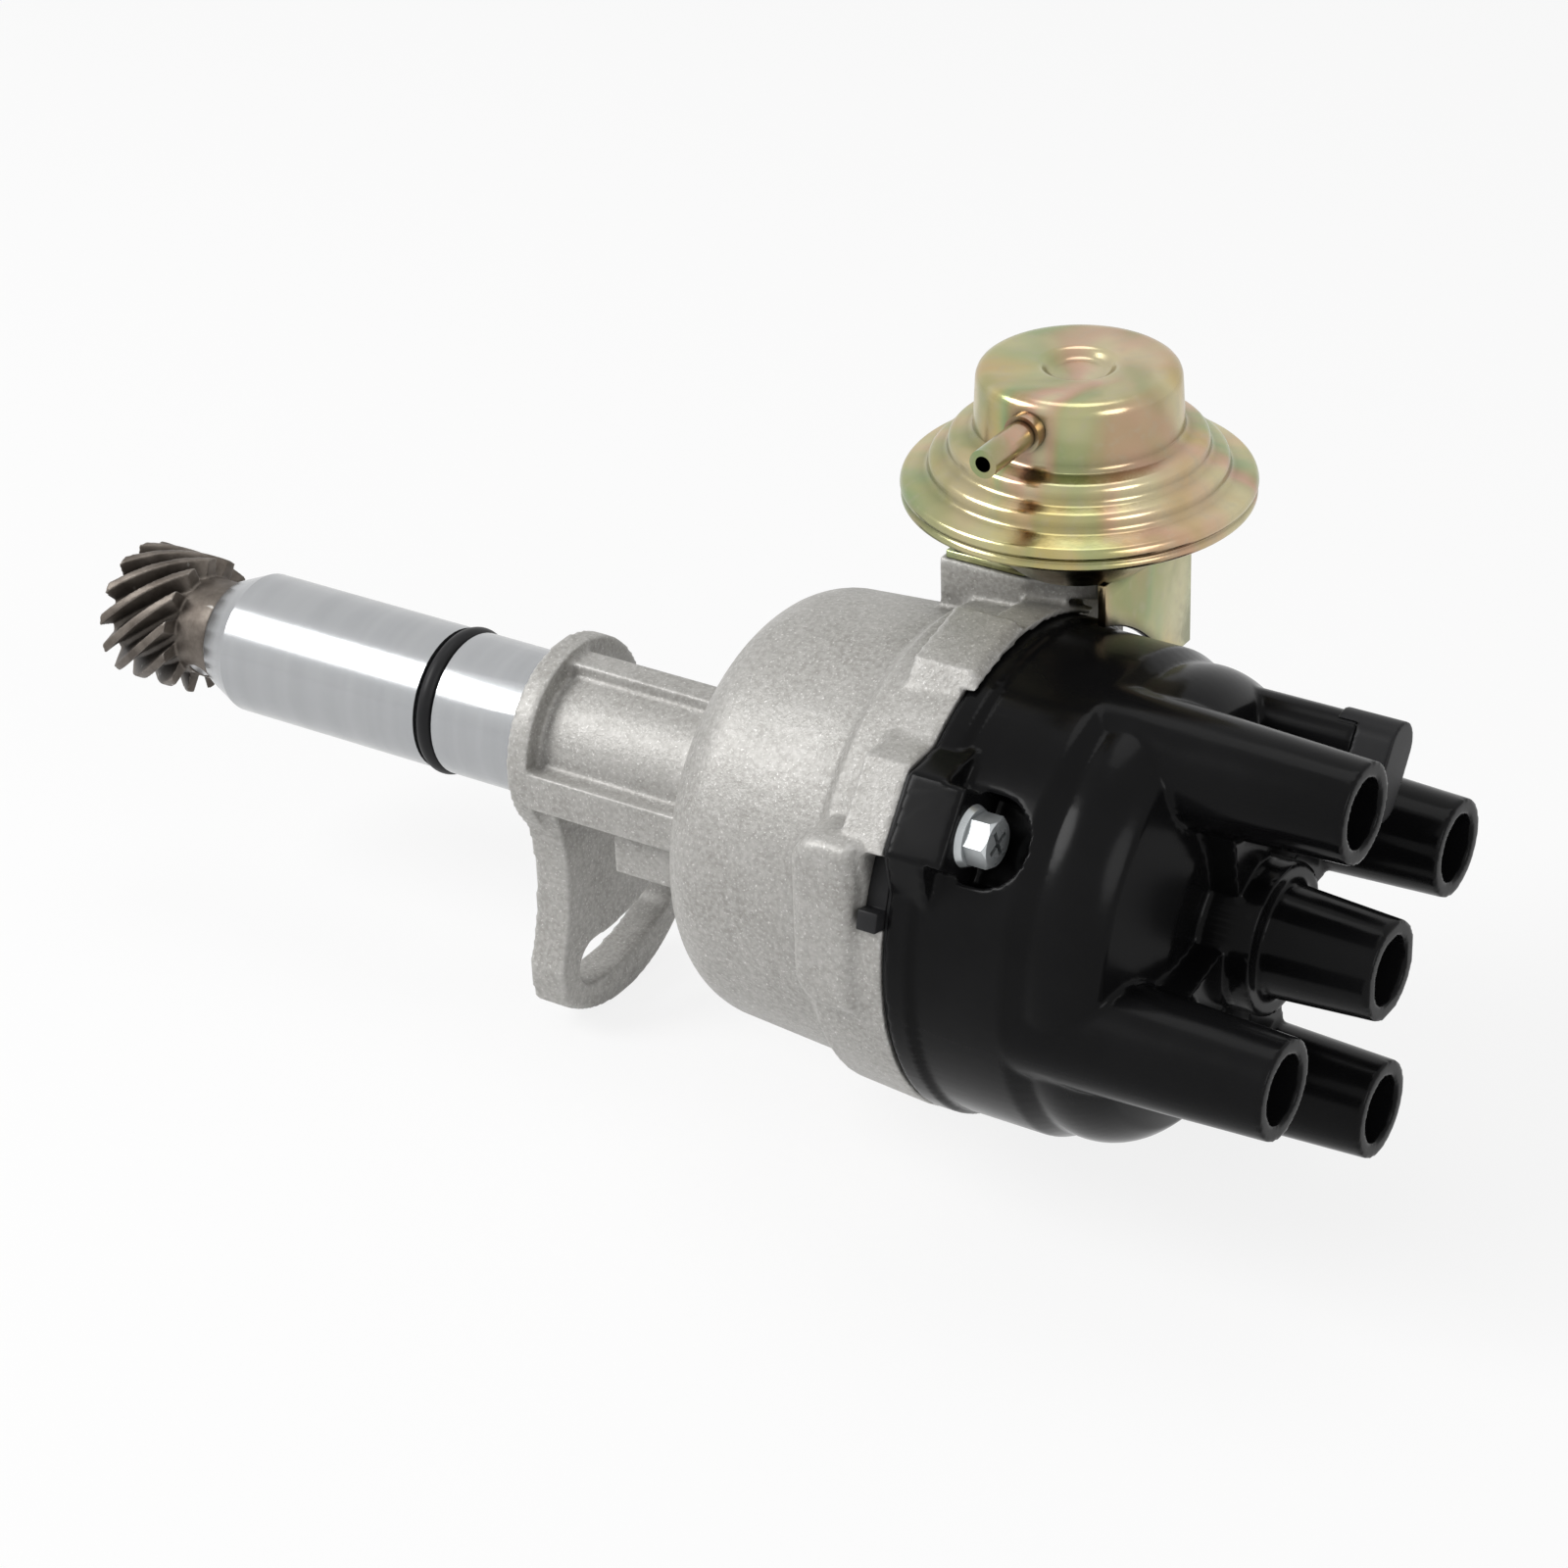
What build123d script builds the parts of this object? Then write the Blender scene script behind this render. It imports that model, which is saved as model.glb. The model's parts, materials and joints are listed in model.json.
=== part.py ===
from build123d import *
from math import asin, atan2, cos, degrees, hypot, radians, sin, sqrt, tan
import os

os.makedirs("parts", exist_ok=True)

# An ignition distributor for a four-cylinder engine, in millimetres.
# The shaft lies along X, the drive gear at the -X end and the cap at the +X end.
# The origin is on the shaft axis, in the plane of the flange that seats on the engine.
# Z points up through the vacuum canister. Clock angles turn from +Y toward +Z.

# Running and seating clearances
shaft_clearance = 0.04
pivot_clearance = 0.06
side_gap = 0.3
free_gap = 0.5

# Shank, flange and neck of the casting
shank_radius = 13.5
shank_length = 76.5
nose_radius = 10.8
nose_length = 6.3
ring_station = 22.9
ring_section = 3.4
ring_proud = 0.6
groove_width = 4.2
flange_radius = 18.9
flange_thickness = 4.2
neck_radius = 15.0
neck_length = 40.4
bush_seat_radius = 9.0
oil_space_radius = 9.4
bush_length = 20.0

# Hold-down arm with its adjusting slot
arm_thickness = 7.5
arm_clock = -83.5
arm_waist = 14.8
arm_half_width = 20.8
arm_waist_reach = 17.0
arm_shoulder_reach = 40.0
arm_side_length = 7.5
arm_end_bulge = 8.9
slot_radius = 45.0
slot_width = 9.4
slot_half_angle = 13.6

# Ribs and sump block of the neck
top_rib_clock = 92.0
top_rib_width = 5.6
top_rib_reach = 17.0
front_rib_reach = 18.6
front_rib_top = 1.4
front_rib_bottom = -6.0
sump_half_width = 15.0
sump_depth = 16.2
sump_length = 20.5

# Bowl of the casting
bowl_back_radius = 27.0
bowl_back_slope = 3.0
bowl_corner = 12.2
bowl_back_outer = 39.3
bowl_step_inner = 40.8
bowl_step_outer = 43.4
bowl_rim_radius = 44.4
bowl_length = 53.8
step_from_rim = 16.8
step_run = 2.4
floor_thickness = 8.6
governor_space_radius = 36.5
floor_corner = 7.0
plate_space_radius = 38.0
ledge_from_rim = 22.0

# Shaft, bushes and seal
shaft_radius = 6.0
spindle_radius = 4.5
shaft_tail = 1.5
seal_radius = 11.0
seal_width = 5.0
washer_thickness = 0.5
washer_radius = 9.2

# Helical drive gear
gear_teeth = 13
gear_tip_radius = 13.3
gear_root_radius = 9.5
gear_face = 15.5
gear_hub_radius = 9.6
gear_hub_length = 7.2
gear_helix = 40.0
gear_pin_radius = 2.0
gear_pin_clock = 35.0

# Centrifugal governor
governor_plate_radius = 32.5
governor_plate_thickness = 1.5
governor_plate_scallop = 9.0
governor_hub_radius = 8.6
governor_hub_length = 2.4
weight_pivot_reach = 23.0
weight_thickness = 6.4
weight_inner_radius = 13.5
weight_outer_radius = 29.0
weight_boss_radius = 5.5
weight_start = -80.0
weight_end = 40.0
weight_swing = 15.0
advance_range = 12.0
pivot_radius = 2.5
drive_pin_radius = 2.0
drive_pin_y = 15.8
drive_pin_z = -2.2
drive_pin_length = 3.0
cam_plate_thickness = 1.5
cam_plate_half_length = 27.0
cam_plate_half_width = 10.0
spring_post_y = 11.0
spring_post_z = 24.0
spring_hook_z = 6.0
spring_post_radius = 1.4
spring_coil_radius = 2.6
spring_wire = 0.8
spring_layer = 3.0

# Sleeve, reluctor and rotor
sleeve_radius = 7.5
sleeve_counterbore = 5.8
spindle_length = 40.2
sleeve_overhang = 10.0
screw_head_radius = 5.2
screw_head_height = 3.0
screw_shank_radius = 2.0
screw_shank_length = 8.0
felt_thickness = 3.0
reluctor_tip_radius = 13.5
reluctor_root_radius = 10.0
reluctor_width = 9.0
reluctor_tooth = 4.4
rotor_hub_radius = 11.0
rotor_socket_depth = 10.0
rotor_crown = 6.0
rotor_arm_width = 13.0
rotor_arm_reach = 26.5
rotor_arm_thickness = 5.0
rotor_tail_reach = 15.0
rotor_tail_width = 16.0
rotor_clock = 100.2
contact_width = 7.0
contact_reach = 28.6
contact_thickness = 1.2

# Base plate, pickup plate, pickup and module
base_plate_thickness = 1.6
base_plate_hole = 11.0
collar_radius = 13.0
collar_height = 3.4
base_screw_reach = 33.5
base_screw_radius = 2.0
base_screw_head = 3.4
base_screw_head_height = 1.8
base_boss_radius = 3.6
base_boss_height = 5.0
base_screw_clock = 135.0
pickup_plate_thickness = 1.6
pickup_plate_radius = 29.5
retainer_width = 2.0
retainer_thickness = 0.8
pickup_swing = 10.0
link_pin_radius = 2.0
link_pin_height = 5.0
link_pin_clearance = 0.3
coil_depth = 10.0
coil_width = 15.0
coil_length = 9.5
pole_width = 5.0
pole_gap = 0.6
pole_thickness = 3.0
module_width = 30.0
module_depth = 11.0
module_height = 10.0
module_reach = 22.5
module_screw_radius = 1.6
module_screw_head = 3.0
module_screw_inset = 4.0
module_base_height = 2.5
module_ear = 7.0

# Cap and its fittings
gasket_thickness = 0.7
gasket_width = 2.6
cap_rim_radius = 44.2
cap_rim_height = 4.2
cap_wall_radius = 43.2
cap_wall_length = 21.4
cap_crease_run = 3.7
cap_crease_drop = 1.7
cap_shoulder_length = 32.6
cap_shoulder_radius = 40.8
cap_brow_length = 37.0
cap_brow_radius = 37.4
cap_valley_length = 41.4
cap_valley_radius = 22.0
cap_face_length = 47.0
cap_web_width = 12.0
cap_wall = 3.2
cap_roof = 10.9
cap_roof_radius = 30.0
spigot_length = 3.6
spigot_thickness = 2.2
spigot_gap = 0.3
tower_clock = 10.2
tower_circle = 32.7
tower_height = 21.0
tower_tip_radius = 8.75
tower_root_radius = 10.6
centre_root_radius = 10.2
socket_radius = 6.0
socket_depth = 17.0
centre_tower_extra = 3.2
centre_plateau_radius = 13.5
centre_plateau_height = 4.5
ear_clock = 142.4
ear_width = 14.1
ear_root_width = 28.0
ear_root_reach = 41.0
ear_projection = 4.7
ear_thickness = 10.6
ear_flange_thickness = 7.0
ear_screw_edge = 6.9
screw_pocket_radius = 7.8
cap_screw_radius = 2.5
cap_screw_flange = 5.5
cap_screw_head_height = 5.2
cap_screw_flange_thickness = 1.2
cap_screw_across = 8.0
cap_screw_recess = 6.4
cap_screw_recess_width = 1.2
cap_screw_recess_depth = 1.6
cap_screw_grip = 5.4
cap_screw_tap = 7.0
terminal_cup_radius = 5.2
terminal_cup_depth = 5.0
terminal_wall = 0.8
terminal_post_radius = 2.2
terminal_foot_radius = 3.0
terminal_foot_length = 6.0
brush_radius = 2.6
brush_length = 9.0
brush_travel = 1.5
brush_boss_radius = 5.5
brush_clearance = 0.08
brush_spring_wire = 0.5
brush_spring_length = 8.0
vent_clock = 55.2
vent_stalk_circle = 35.0
vent_stalk_radius = 4.9
vent_bore = 1.5
vent_hood_circle = 31.75
vent_hood_length = 17.5
vent_hood_width = 9.2
vent_hood_depth = 11.0
vent_hood_overlap = 4.0
vent_height = 15.1

# Ears, boss, lug, band and notch of the rim
boss_step = 0.8
boss_width = 16.0
boss_length = 8.6
lower_boss_face = 45.6
lower_boss_top = 24.4
lower_boss_height = 33.0
lower_boss_length = 12.3
lower_boss_setback = 0.8
lower_boss_corner = 6.0
lower_boss_round = 2.6
rim_lug_offset = -39.4
rim_lug_width = 21.0
rim_lug_slope_run = 6.4
rim_lug_slope_drop = 5.6
rim_lug_reach = 46.6
rim_lug_length = 10.2
rim_lug_lip = 2.4
rim_lug_chamfer = 1.4
rim_band_angle = 42.0
rim_band_overlap = 3.0
rim_band_reach = 45.9
rim_band_length = 4.4
notch_offset = 9.1
notch_angle = 16.5
notch_depth = 3.8
grommet_reach = 43.6
grommet_tab_reach = 46.4
grommet_tab_angle = 4.5

# Pad that carries the vacuum canister
pad_back = 73.0
pad_corner = 89.4
pad_front = 101.0
pad_near = 12.2
pad_near_front = 17.9
pad_far = 40.0
pad_top = 48.1
pad_ledge = 3.8
pad_slot_width = 7.4
pad_slot_back = 76.6
pad_pocket_floor = 41.4

# Vacuum canister
canister_x = 94.5
canister_y = 22.9
canister_flange_z = 64.6
canister_radius = 30.5
canister_sheet = 1.0
canister_roll = 1.3
canister_top = 85.1
drum_radius = 17.3
drum_flare = 0.6
drum_corner = 2.8
drum_base_height = 10.2
ring_two_radius = 22.0
ring_two_height = 7.6
ring_two_foot = 4.7
ring_one_radius = 25.3
ring_one_height = 3.6
ring_one_foot = 1.4
dimple_radius = 6.6
dimple_depth = 1.3
lower_dish_radius = 12.5
lower_rim_radius = 26.5
bracket_sheet = 1.5
bracket_apron_x = 104.5
bracket_apron_near = 14.0
bracket_apron_far = 45.5
bracket_apron_low = 24.5
bracket_clear_gap = 0.8
bracket_return = 8.0
bracket_inset = 0.6
diaphragm_thickness = 0.9
cup_radius = 13.5
cup_thickness = 1.0
vacuum_spring_radius = 9.0
vacuum_spring_wire = 1.3
vacuum_spring_turns = 4
rod_width = 6.0
rod_thickness = 1.5
rod_bend = 2.5
rod_shelf_z = 42.6
nipple_z = 80.0
nipple_radius = 2.5
nipple_bore = 1.4
nipple_length = 14.8
nipple_collar_radius = 3.3
nipple_collar_length = 2.2
bracket_screw_radius = 2.0
bracket_screw_head = 3.2
bracket_screw_head_height = 1.8
bracket_screw_length = 6.0
bracket_screw_inset = 4.0
bracket_screw_near = 4.2
bracket_screw_far = 7.0

# Reaches and clock angles that follow from the sizes above
arm_corner_reach = arm_shoulder_reach + arm_side_length
arm_end_reach = arm_corner_reach + arm_end_bulge
ear_reach = cap_rim_radius + ear_projection
notch_from = ear_clock + notch_offset
notch_to = notch_from + notch_angle
grommet_tab_from = notch_to - grommet_tab_angle
rim_lug_clock = ear_clock + rim_lug_offset
rim_band_to = rim_lug_clock - rim_band_overlap
rim_band_from = rim_band_to - rim_band_angle

# Stations along the shaft that follow from the sizes above
rim_x = neck_length + bowl_length
floor_x = neck_length + floor_thickness
ledge_x = rim_x - ledge_from_rim
step_x = rim_x - step_from_rim
cap_x = rim_x + gasket_thickness
governor_x = floor_x + washer_thickness + governor_hub_length
governor_top_x = governor_x + governor_plate_thickness
weight_x = governor_top_x + side_gap
weight_top_x = weight_x + weight_thickness
cam_x = weight_top_x + side_gap
cam_top_x = cam_x + cam_plate_thickness
spring_x = cam_top_x + spring_coil_radius + spring_wire + free_gap
spindle_x = governor_top_x + side_gap
spindle_end_x = spindle_x + spindle_length
sleeve_x = spindle_x + side_gap
sleeve_end_x = spindle_end_x + sleeve_overhang
base_plate_top_x = ledge_x + base_plate_thickness
pickup_x = base_plate_top_x + side_gap
pickup_top_x = pickup_x + pickup_plate_thickness
collar_top_x = base_plate_top_x + collar_height
reluctor_x = collar_top_x + 1.4
rotor_top_x = sleeve_end_x + rotor_crown
contact_top_x = rotor_top_x + contact_thickness
gear_x = -shank_length - side_gap - washer_thickness
gear_end_x = gear_x - gear_hub_length - gear_face
cap_face_x = cap_x + cap_face_length
tower_root_x = cap_x + cap_wall_length
tower_end_x = cap_face_x + tower_height
centre_tower_end_x = tower_end_x + centre_tower_extra
cavity_x = cap_face_x - cap_roof
ear_top_x = cap_x + ear_thickness
ear_screw_reach = ear_reach - ear_screw_edge
pocket_floor = ear_screw_reach - cap_screw_flange - free_gap
pocket_end_x = ear_top_x + cap_screw_head_height + cap_screw_grip + free_gap
hood_x = cap_face_x + vent_height - vent_hood_depth
link_pin_y = canister_y
link_pin_z = -canister_y * sin(radians(pickup_swing / 2))
rod_travel = 2 * canister_y * tan(radians(pickup_swing / 2))
rod_eye_x = pickup_top_x + side_gap + rod_thickness / 2 + 2.0


def on_clock(reach, clock):
    # the Y and Z of a point at a clock angle about the shaft
    return reach * cos(radians(clock)), reach * sin(radians(clock))


def turned(point, angle):
    # a Y, Z point turned about the shaft
    y, z = point
    a = radians(angle)
    return y * cos(a) - z * sin(a), y * sin(a) + z * cos(a)


def ring_part(x_from, x_to, outer, inner=0.0):
    # a plain ring or disc about the shaft axis
    with BuildPart() as ring:
        with BuildSketch(Plane.YZ.offset(x_from)):
            Circle(outer)
            if inner > 0:
                Circle(inner, mode=Mode.SUBTRACT)
        extrude(amount=x_to - x_from)
    return ring.part


def ring_sector(inner, outer, clock_from, clock_to):
    # a flat sector of a ring about the shaft
    sweep_angle = clock_to - clock_from
    with BuildSketch() as sector:
        with BuildLine():
            outside = CenterArc((0, 0), outer, clock_from, sweep_angle)
            inside = CenterArc((0, 0), inner, clock_from, sweep_angle)
            Line(outside @ 0, inside @ 0)
            Line(outside @ 1, inside @ 1)
        make_face()
    return sector.sketch_local


def eared_disc(radius, reach, width, root_width):
    # a disc with two square-ended ears, wider where they leave it
    with BuildSketch() as disc:
        Circle(radius)
        for side in (ear_clock, ear_clock + 180):
            with BuildLine(Plane.XY.rotated((0, 0, side))):
                Polyline(
                    (0, -root_width / 2),
                    (ear_root_reach, -root_width / 2),
                    (reach, -width / 2),
                    (reach, width / 2),
                    (ear_root_reach, root_width / 2),
                    (0, root_width / 2),
                    close=True,
                )
            make_face()
    return disc.sketch_local


def lug_outline():
    # the end view of the lug on the rim: a flat top, then a slope at its near end
    half = rim_lug_width / 2
    with BuildSketch() as lug:
        with BuildLine(Plane.XY.rotated((0, 0, rim_lug_clock))):
            Polyline(
                (plate_space_radius, -half),
                (rim_lug_reach, -half),
                (rim_lug_reach, half - rim_lug_slope_run),
                (rim_lug_reach - rim_lug_slope_drop, half),
                (plate_space_radius, half),
                close=True,
            )
        make_face()
    return lug.sketch_local


def save(part, label):
    part.label = label
    export_step(part, f"parts/{label}.step")


# Flat-faced boss of the casting with a level top, its back corners rounded
with BuildPart() as lower_boss:
    boss_front_x = rim_x - notch_depth - lower_boss_setback
    boss_middle_x = boss_front_x - lower_boss_length / 2
    with BuildSketch(Plane.XZ.offset(lower_boss_face)):
        with Locations((boss_middle_x, lower_boss_top - lower_boss_height / 2)):
            Rectangle(lower_boss_length, lower_boss_height)
        fillet(vertices().sort_by(Axis.X)[:2], lower_boss_corner)
    extrude(amount=-(lower_boss_face - governor_space_radius + lower_boss_corner))
    fillet(lower_boss.faces().sort_by(Axis.Y)[0].edges(), lower_boss_round)

# Casting: shank, flange, arm, neck and bowl in one piece
with BuildPart() as housing:
    with BuildSketch(Plane.XY):
        with BuildLine():
            groove_floor = shank_radius + ring_proud - ring_section
            groove_back = -ring_station - groove_width / 2
            groove_front = -ring_station + groove_width / 2
            corner = neck_length + bowl_back_slope
            Polyline(
                (neck_length, 0),
                (-shank_length, 0),
                (-shank_length, nose_radius),
                (-shank_length + nose_length, shank_radius),
                (groove_back, shank_radius),
                (groove_back, groove_floor),
                (groove_front, groove_floor),
                (groove_front, shank_radius),
                (0, shank_radius),
                (0, flange_radius),
                (flange_thickness, flange_radius),
                (flange_thickness, neck_radius),
                (neck_length, neck_radius),
                (corner, bowl_back_radius),
            )
            back = ThreePointArc(
                (corner, bowl_back_radius),
                (corner + bowl_corner * 0.29, bowl_back_outer - bowl_corner * 0.3),
                (corner + bowl_corner, bowl_back_outer),
            )
            Polyline(
                back @ 1,
                (step_x, bowl_step_inner),
                (step_x + step_run, bowl_step_outer),
                (rim_x, bowl_rim_radius),
                (rim_x, 0),
                (neck_length, 0),
            )
        make_face()
    revolve(axis=Axis.X)

    # hold-down arm
    arm_plane = Plane.YZ.rotated((arm_clock + 90, 0, 0))
    with BuildSketch(arm_plane):
        with BuildLine():
            near_side = ThreePointArc(
                (-flange_radius + free_gap, 0),
                (-arm_waist, -arm_waist_reach),
                (-arm_half_width, -arm_shoulder_reach),
            )
            near_edge = Line(near_side @ 1, (-arm_half_width, -arm_corner_reach))
            end_edge = ThreePointArc(
                near_edge @ 1, (0, -arm_end_reach), (arm_half_width, -arm_corner_reach)
            )
            far_edge = Line(end_edge @ 1, (arm_half_width, -arm_shoulder_reach))
            far_side = ThreePointArc(
                far_edge @ 1,
                (arm_waist, -arm_waist_reach),
                (flange_radius - free_gap, 0),
            )
            Line(far_side @ 1, near_side @ 0)
        make_face()
    extrude(amount=arm_thickness)

    # ribs of the neck
    with BuildSketch(Plane.YZ.offset(flange_thickness)):
        with PolarLocations(top_rib_reach / 2, 1, start_angle=top_rib_clock):
            Rectangle(top_rib_reach, top_rib_width)
        rib_height = front_rib_top - front_rib_bottom
        with Locations((-front_rib_reach / 2, (front_rib_top + front_rib_bottom) / 2)):
            Rectangle(front_rib_reach, rib_height)
        with Locations((front_rib_reach / 2, (front_rib_top + front_rib_bottom) / 2)):
            Rectangle(front_rib_reach, rib_height)
    extrude(amount=neck_length - flange_thickness + bowl_back_slope)

    # sump block under the neck, beside the bowl
    with BuildSketch(Plane.YZ.offset(neck_length - sump_length)):
        with Locations((0, -sump_depth / 2)):
            Rectangle(2 * sump_half_width, sump_depth)
    extrude(amount=sump_length + bowl_back_slope)

    # ears of the rim for the two cap screws
    with BuildSketch(Plane.YZ.offset(rim_x - boss_length)):
        add(eared_disc(bowl_step_outer, ear_reach - boss_step, boss_width, ear_root_width))
    extrude(amount=boss_length)

    # raised boss low on the near side
    add(lower_boss.part)

    # flat-faced lug with a lip over the cap, and a low band from it along the rim
    with BuildSketch(Plane.YZ.offset(rim_x - rim_lug_length)):
        add(lug_outline())
    extrude(amount=rim_lug_length + rim_lug_lip)
    lug_face = housing.faces().filter_by(Axis.X).sort_by(Axis.X)[-1]
    outer_edge = lug_face.edges().sort_by(lambda edge: hypot(edge.center().Y, edge.center().Z))[-1]
    chamfer(outer_edge, rim_lug_chamfer)
    with BuildSketch(Plane.YZ.offset(rim_x - rim_band_length)):
        add(ring_sector(plate_space_radius + 1, rim_band_reach, rim_band_from, rim_band_to))
    extrude(amount=rim_band_length + rim_lug_lip)
    with BuildSketch(Plane.YZ.offset(rim_x)):
        Circle(cap_rim_radius + side_gap)
    extrude(amount=rim_lug_lip, mode=Mode.SUBTRACT)

    # pad under the vacuum canister: a block on the bowl and a ledge over the rim
    with BuildSketch(Plane.XY.offset(pad_top)):
        with BuildLine():
            Polyline(
                (pad_back, pad_near),
                (pad_corner, pad_near),
                (rim_x, pad_near_front),
                (rim_x, pad_far),
                (pad_back, pad_far),
                close=True,
            )
        make_face()
    extrude(amount=-(pad_top - plate_space_radius * 0.6))
    with BuildSketch(Plane.XY.offset(pad_top)):
        with BuildLine():
            Polyline(
                (pad_back, pad_near),
                (pad_corner, pad_near),
                (pad_front, pad_near_front),
                (pad_front, pad_far),
                (pad_back, pad_far),
                close=True,
            )
        make_face()
    extrude(amount=-pad_ledge)

    # inside of the bowl: governor space, then the wider space for the plates
    with BuildSketch(Plane.XY):
        with BuildLine():
            Polyline(
                (floor_x, 0),
                (floor_x, governor_space_radius - floor_corner),
            )
            RadiusArc(
                (floor_x, governor_space_radius - floor_corner),
                (floor_x + floor_corner, governor_space_radius),
                floor_corner,
            )
            Polyline(
                (floor_x + floor_corner, governor_space_radius),
                (ledge_x, governor_space_radius),
                (ledge_x, plate_space_radius),
                (rim_x, plate_space_radius),
                (rim_x, 0),
                (floor_x, 0),
            )
        make_face()
    revolve(axis=Axis.X, mode=Mode.SUBTRACT)

    # shaft bore with two bush seats, an oil space and a seal seat
    with BuildSketch(Plane.XY):
        with BuildLine():
            Polyline(
                (-shank_length, 0),
                (-shank_length, bush_seat_radius),
                (-shank_length + bush_length, bush_seat_radius),
                (-shank_length + bush_length, oil_space_radius),
                (floor_x - seal_width - bush_length, oil_space_radius),
                (floor_x - seal_width - bush_length, bush_seat_radius),
                (floor_x - seal_width, bush_seat_radius),
                (floor_x - seal_width, seal_radius),
                (floor_x, seal_radius),
                (floor_x, 0),
                close=True,
            )
        make_face()
    revolve(axis=Axis.X, mode=Mode.SUBTRACT)

    # bosses for the base plate screws, standing out from the wall under the ledge
    with BuildSketch(Plane.YZ.offset(ledge_x - base_boss_height)):
        with PolarLocations(base_screw_reach, 2, start_angle=base_screw_clock):
            Circle(base_boss_radius)
            with Locations((base_boss_radius / 2 + free_gap, 0)):
                Rectangle(base_boss_radius, 2 * base_boss_radius)
    extrude(amount=base_boss_height)
    with BuildSketch(Plane.YZ.offset(ledge_x - base_boss_height)):
        with PolarLocations(base_screw_reach, 2, start_angle=base_screw_clock):
            Circle(base_screw_radius)
    extrude(amount=base_boss_height, mode=Mode.SUBTRACT)

    # threaded holes for the cap screws
    with BuildSketch(Plane.YZ.offset(rim_x)):
        with PolarLocations(ear_screw_reach, 2, start_angle=ear_clock):
            Circle(cap_screw_radius)
    extrude(amount=-cap_screw_tap, mode=Mode.SUBTRACT)

    # notch in the rim for the grommet
    with BuildSketch(Plane.YZ.offset(rim_x - notch_depth)):
        add(ring_sector(plate_space_radius - 1, bowl_rim_radius + 5, notch_from, notch_to))
    extrude(amount=notch_depth, mode=Mode.SUBTRACT)

    # slot and pocket for the vacuum rod
    pocket_front = canister_x + rod_thickness / 2 + 2.5
    with BuildSketch(Plane.XY.offset(pad_top)):
        with Locations(((pad_slot_back + pocket_front) / 2, canister_y)):
            Rectangle(pocket_front - pad_slot_back, pad_slot_width)
    extrude(amount=-(pad_top - pad_pocket_floor), mode=Mode.SUBTRACT)
    slot_front = rod_eye_x + rod_thickness / 2 + 1.5
    with BuildSketch(Plane.XY.offset(pad_top)):
        with Locations(((pad_slot_back + slot_front) / 2, canister_y)):
            Rectangle(slot_front - pad_slot_back, pad_slot_width)
    extrude(amount=-(pad_top - canister_y), mode=Mode.SUBTRACT)

    # adjusting slot in the arm, curved about the shaft
    with BuildSketch(arm_plane):
        with BuildLine(mode=Mode.PRIVATE):
            slot_line = CenterArc(
                (0, 0), slot_radius, -90 - slot_half_angle, 2 * slot_half_angle
            )
        SlotArc(slot_line, slot_width)
    extrude(amount=arm_thickness, mode=Mode.SUBTRACT)

    # threaded holes for the bracket screws
    bracket_screw_places = [
        (pad_back + bracket_screw_inset, pad_near + bracket_screw_near),
        (pad_back + bracket_screw_inset, pad_far - bracket_screw_far),
    ]
    with BuildSketch(Plane.XY.offset(pad_top)):
        with Locations(*bracket_screw_places):
            Circle(bracket_screw_radius)
    extrude(amount=-bracket_screw_length, mode=Mode.SUBTRACT)
save(housing.part, "housing")

# Rubber grommet in the notch of the rim, with a tab outside
with BuildPart() as grommet:
    with BuildSketch(Plane.YZ.offset(rim_x - notch_depth)):
        add(ring_sector(plate_space_radius, grommet_reach, notch_from, notch_to))
        add(ring_sector(plate_space_radius, grommet_tab_reach, grommet_tab_from, notch_to))
    extrude(amount=notch_depth)
save(grommet.part, "rim_grommet")

# O-ring that seals the shank in the engine
with BuildPart() as o_ring:
    with BuildSketch(Plane.XY):
        with Locations((-ring_station, shank_radius + ring_proud - ring_section / 2)):
            Circle(ring_section / 2)
    revolve(axis=Axis.X)
save(o_ring.part, "shank_o_ring")

# Bushes, seal and thrust washers
bush_bore = shaft_radius + shaft_clearance
save(
    ring_part(-shank_length, -shank_length + bush_length, bush_seat_radius, bush_bore),
    "gear_end_bush",
)
save(
    ring_part(
        floor_x - seal_width - bush_length, floor_x - seal_width, bush_seat_radius, bush_bore
    ),
    "bowl_end_bush",
)
with BuildPart() as oil_seal:
    with BuildSketch(Plane.XY):
        with BuildLine():
            Polyline(
                (floor_x - seal_width, seal_radius),
                (floor_x, seal_radius),
                (floor_x, seal_radius - 1.5),
                (floor_x - seal_width + 1.5, seal_radius - 1.5),
                (floor_x - seal_width + 1.5, bush_bore + 1.2),
                (floor_x - 1.0, bush_bore),
                (floor_x - seal_width, bush_bore),
                close=True,
            )
        make_face()
    revolve(axis=Axis.X)
save(oil_seal.part, "oil_seal")
save(
    ring_part(gear_x, gear_x + washer_thickness, washer_radius, shaft_radius),
    "gear_thrust_washer",
)
save(
    ring_part(floor_x, floor_x + washer_thickness - 0.2, governor_hub_radius, bush_bore),
    "bowl_thrust_washer",
)

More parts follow.
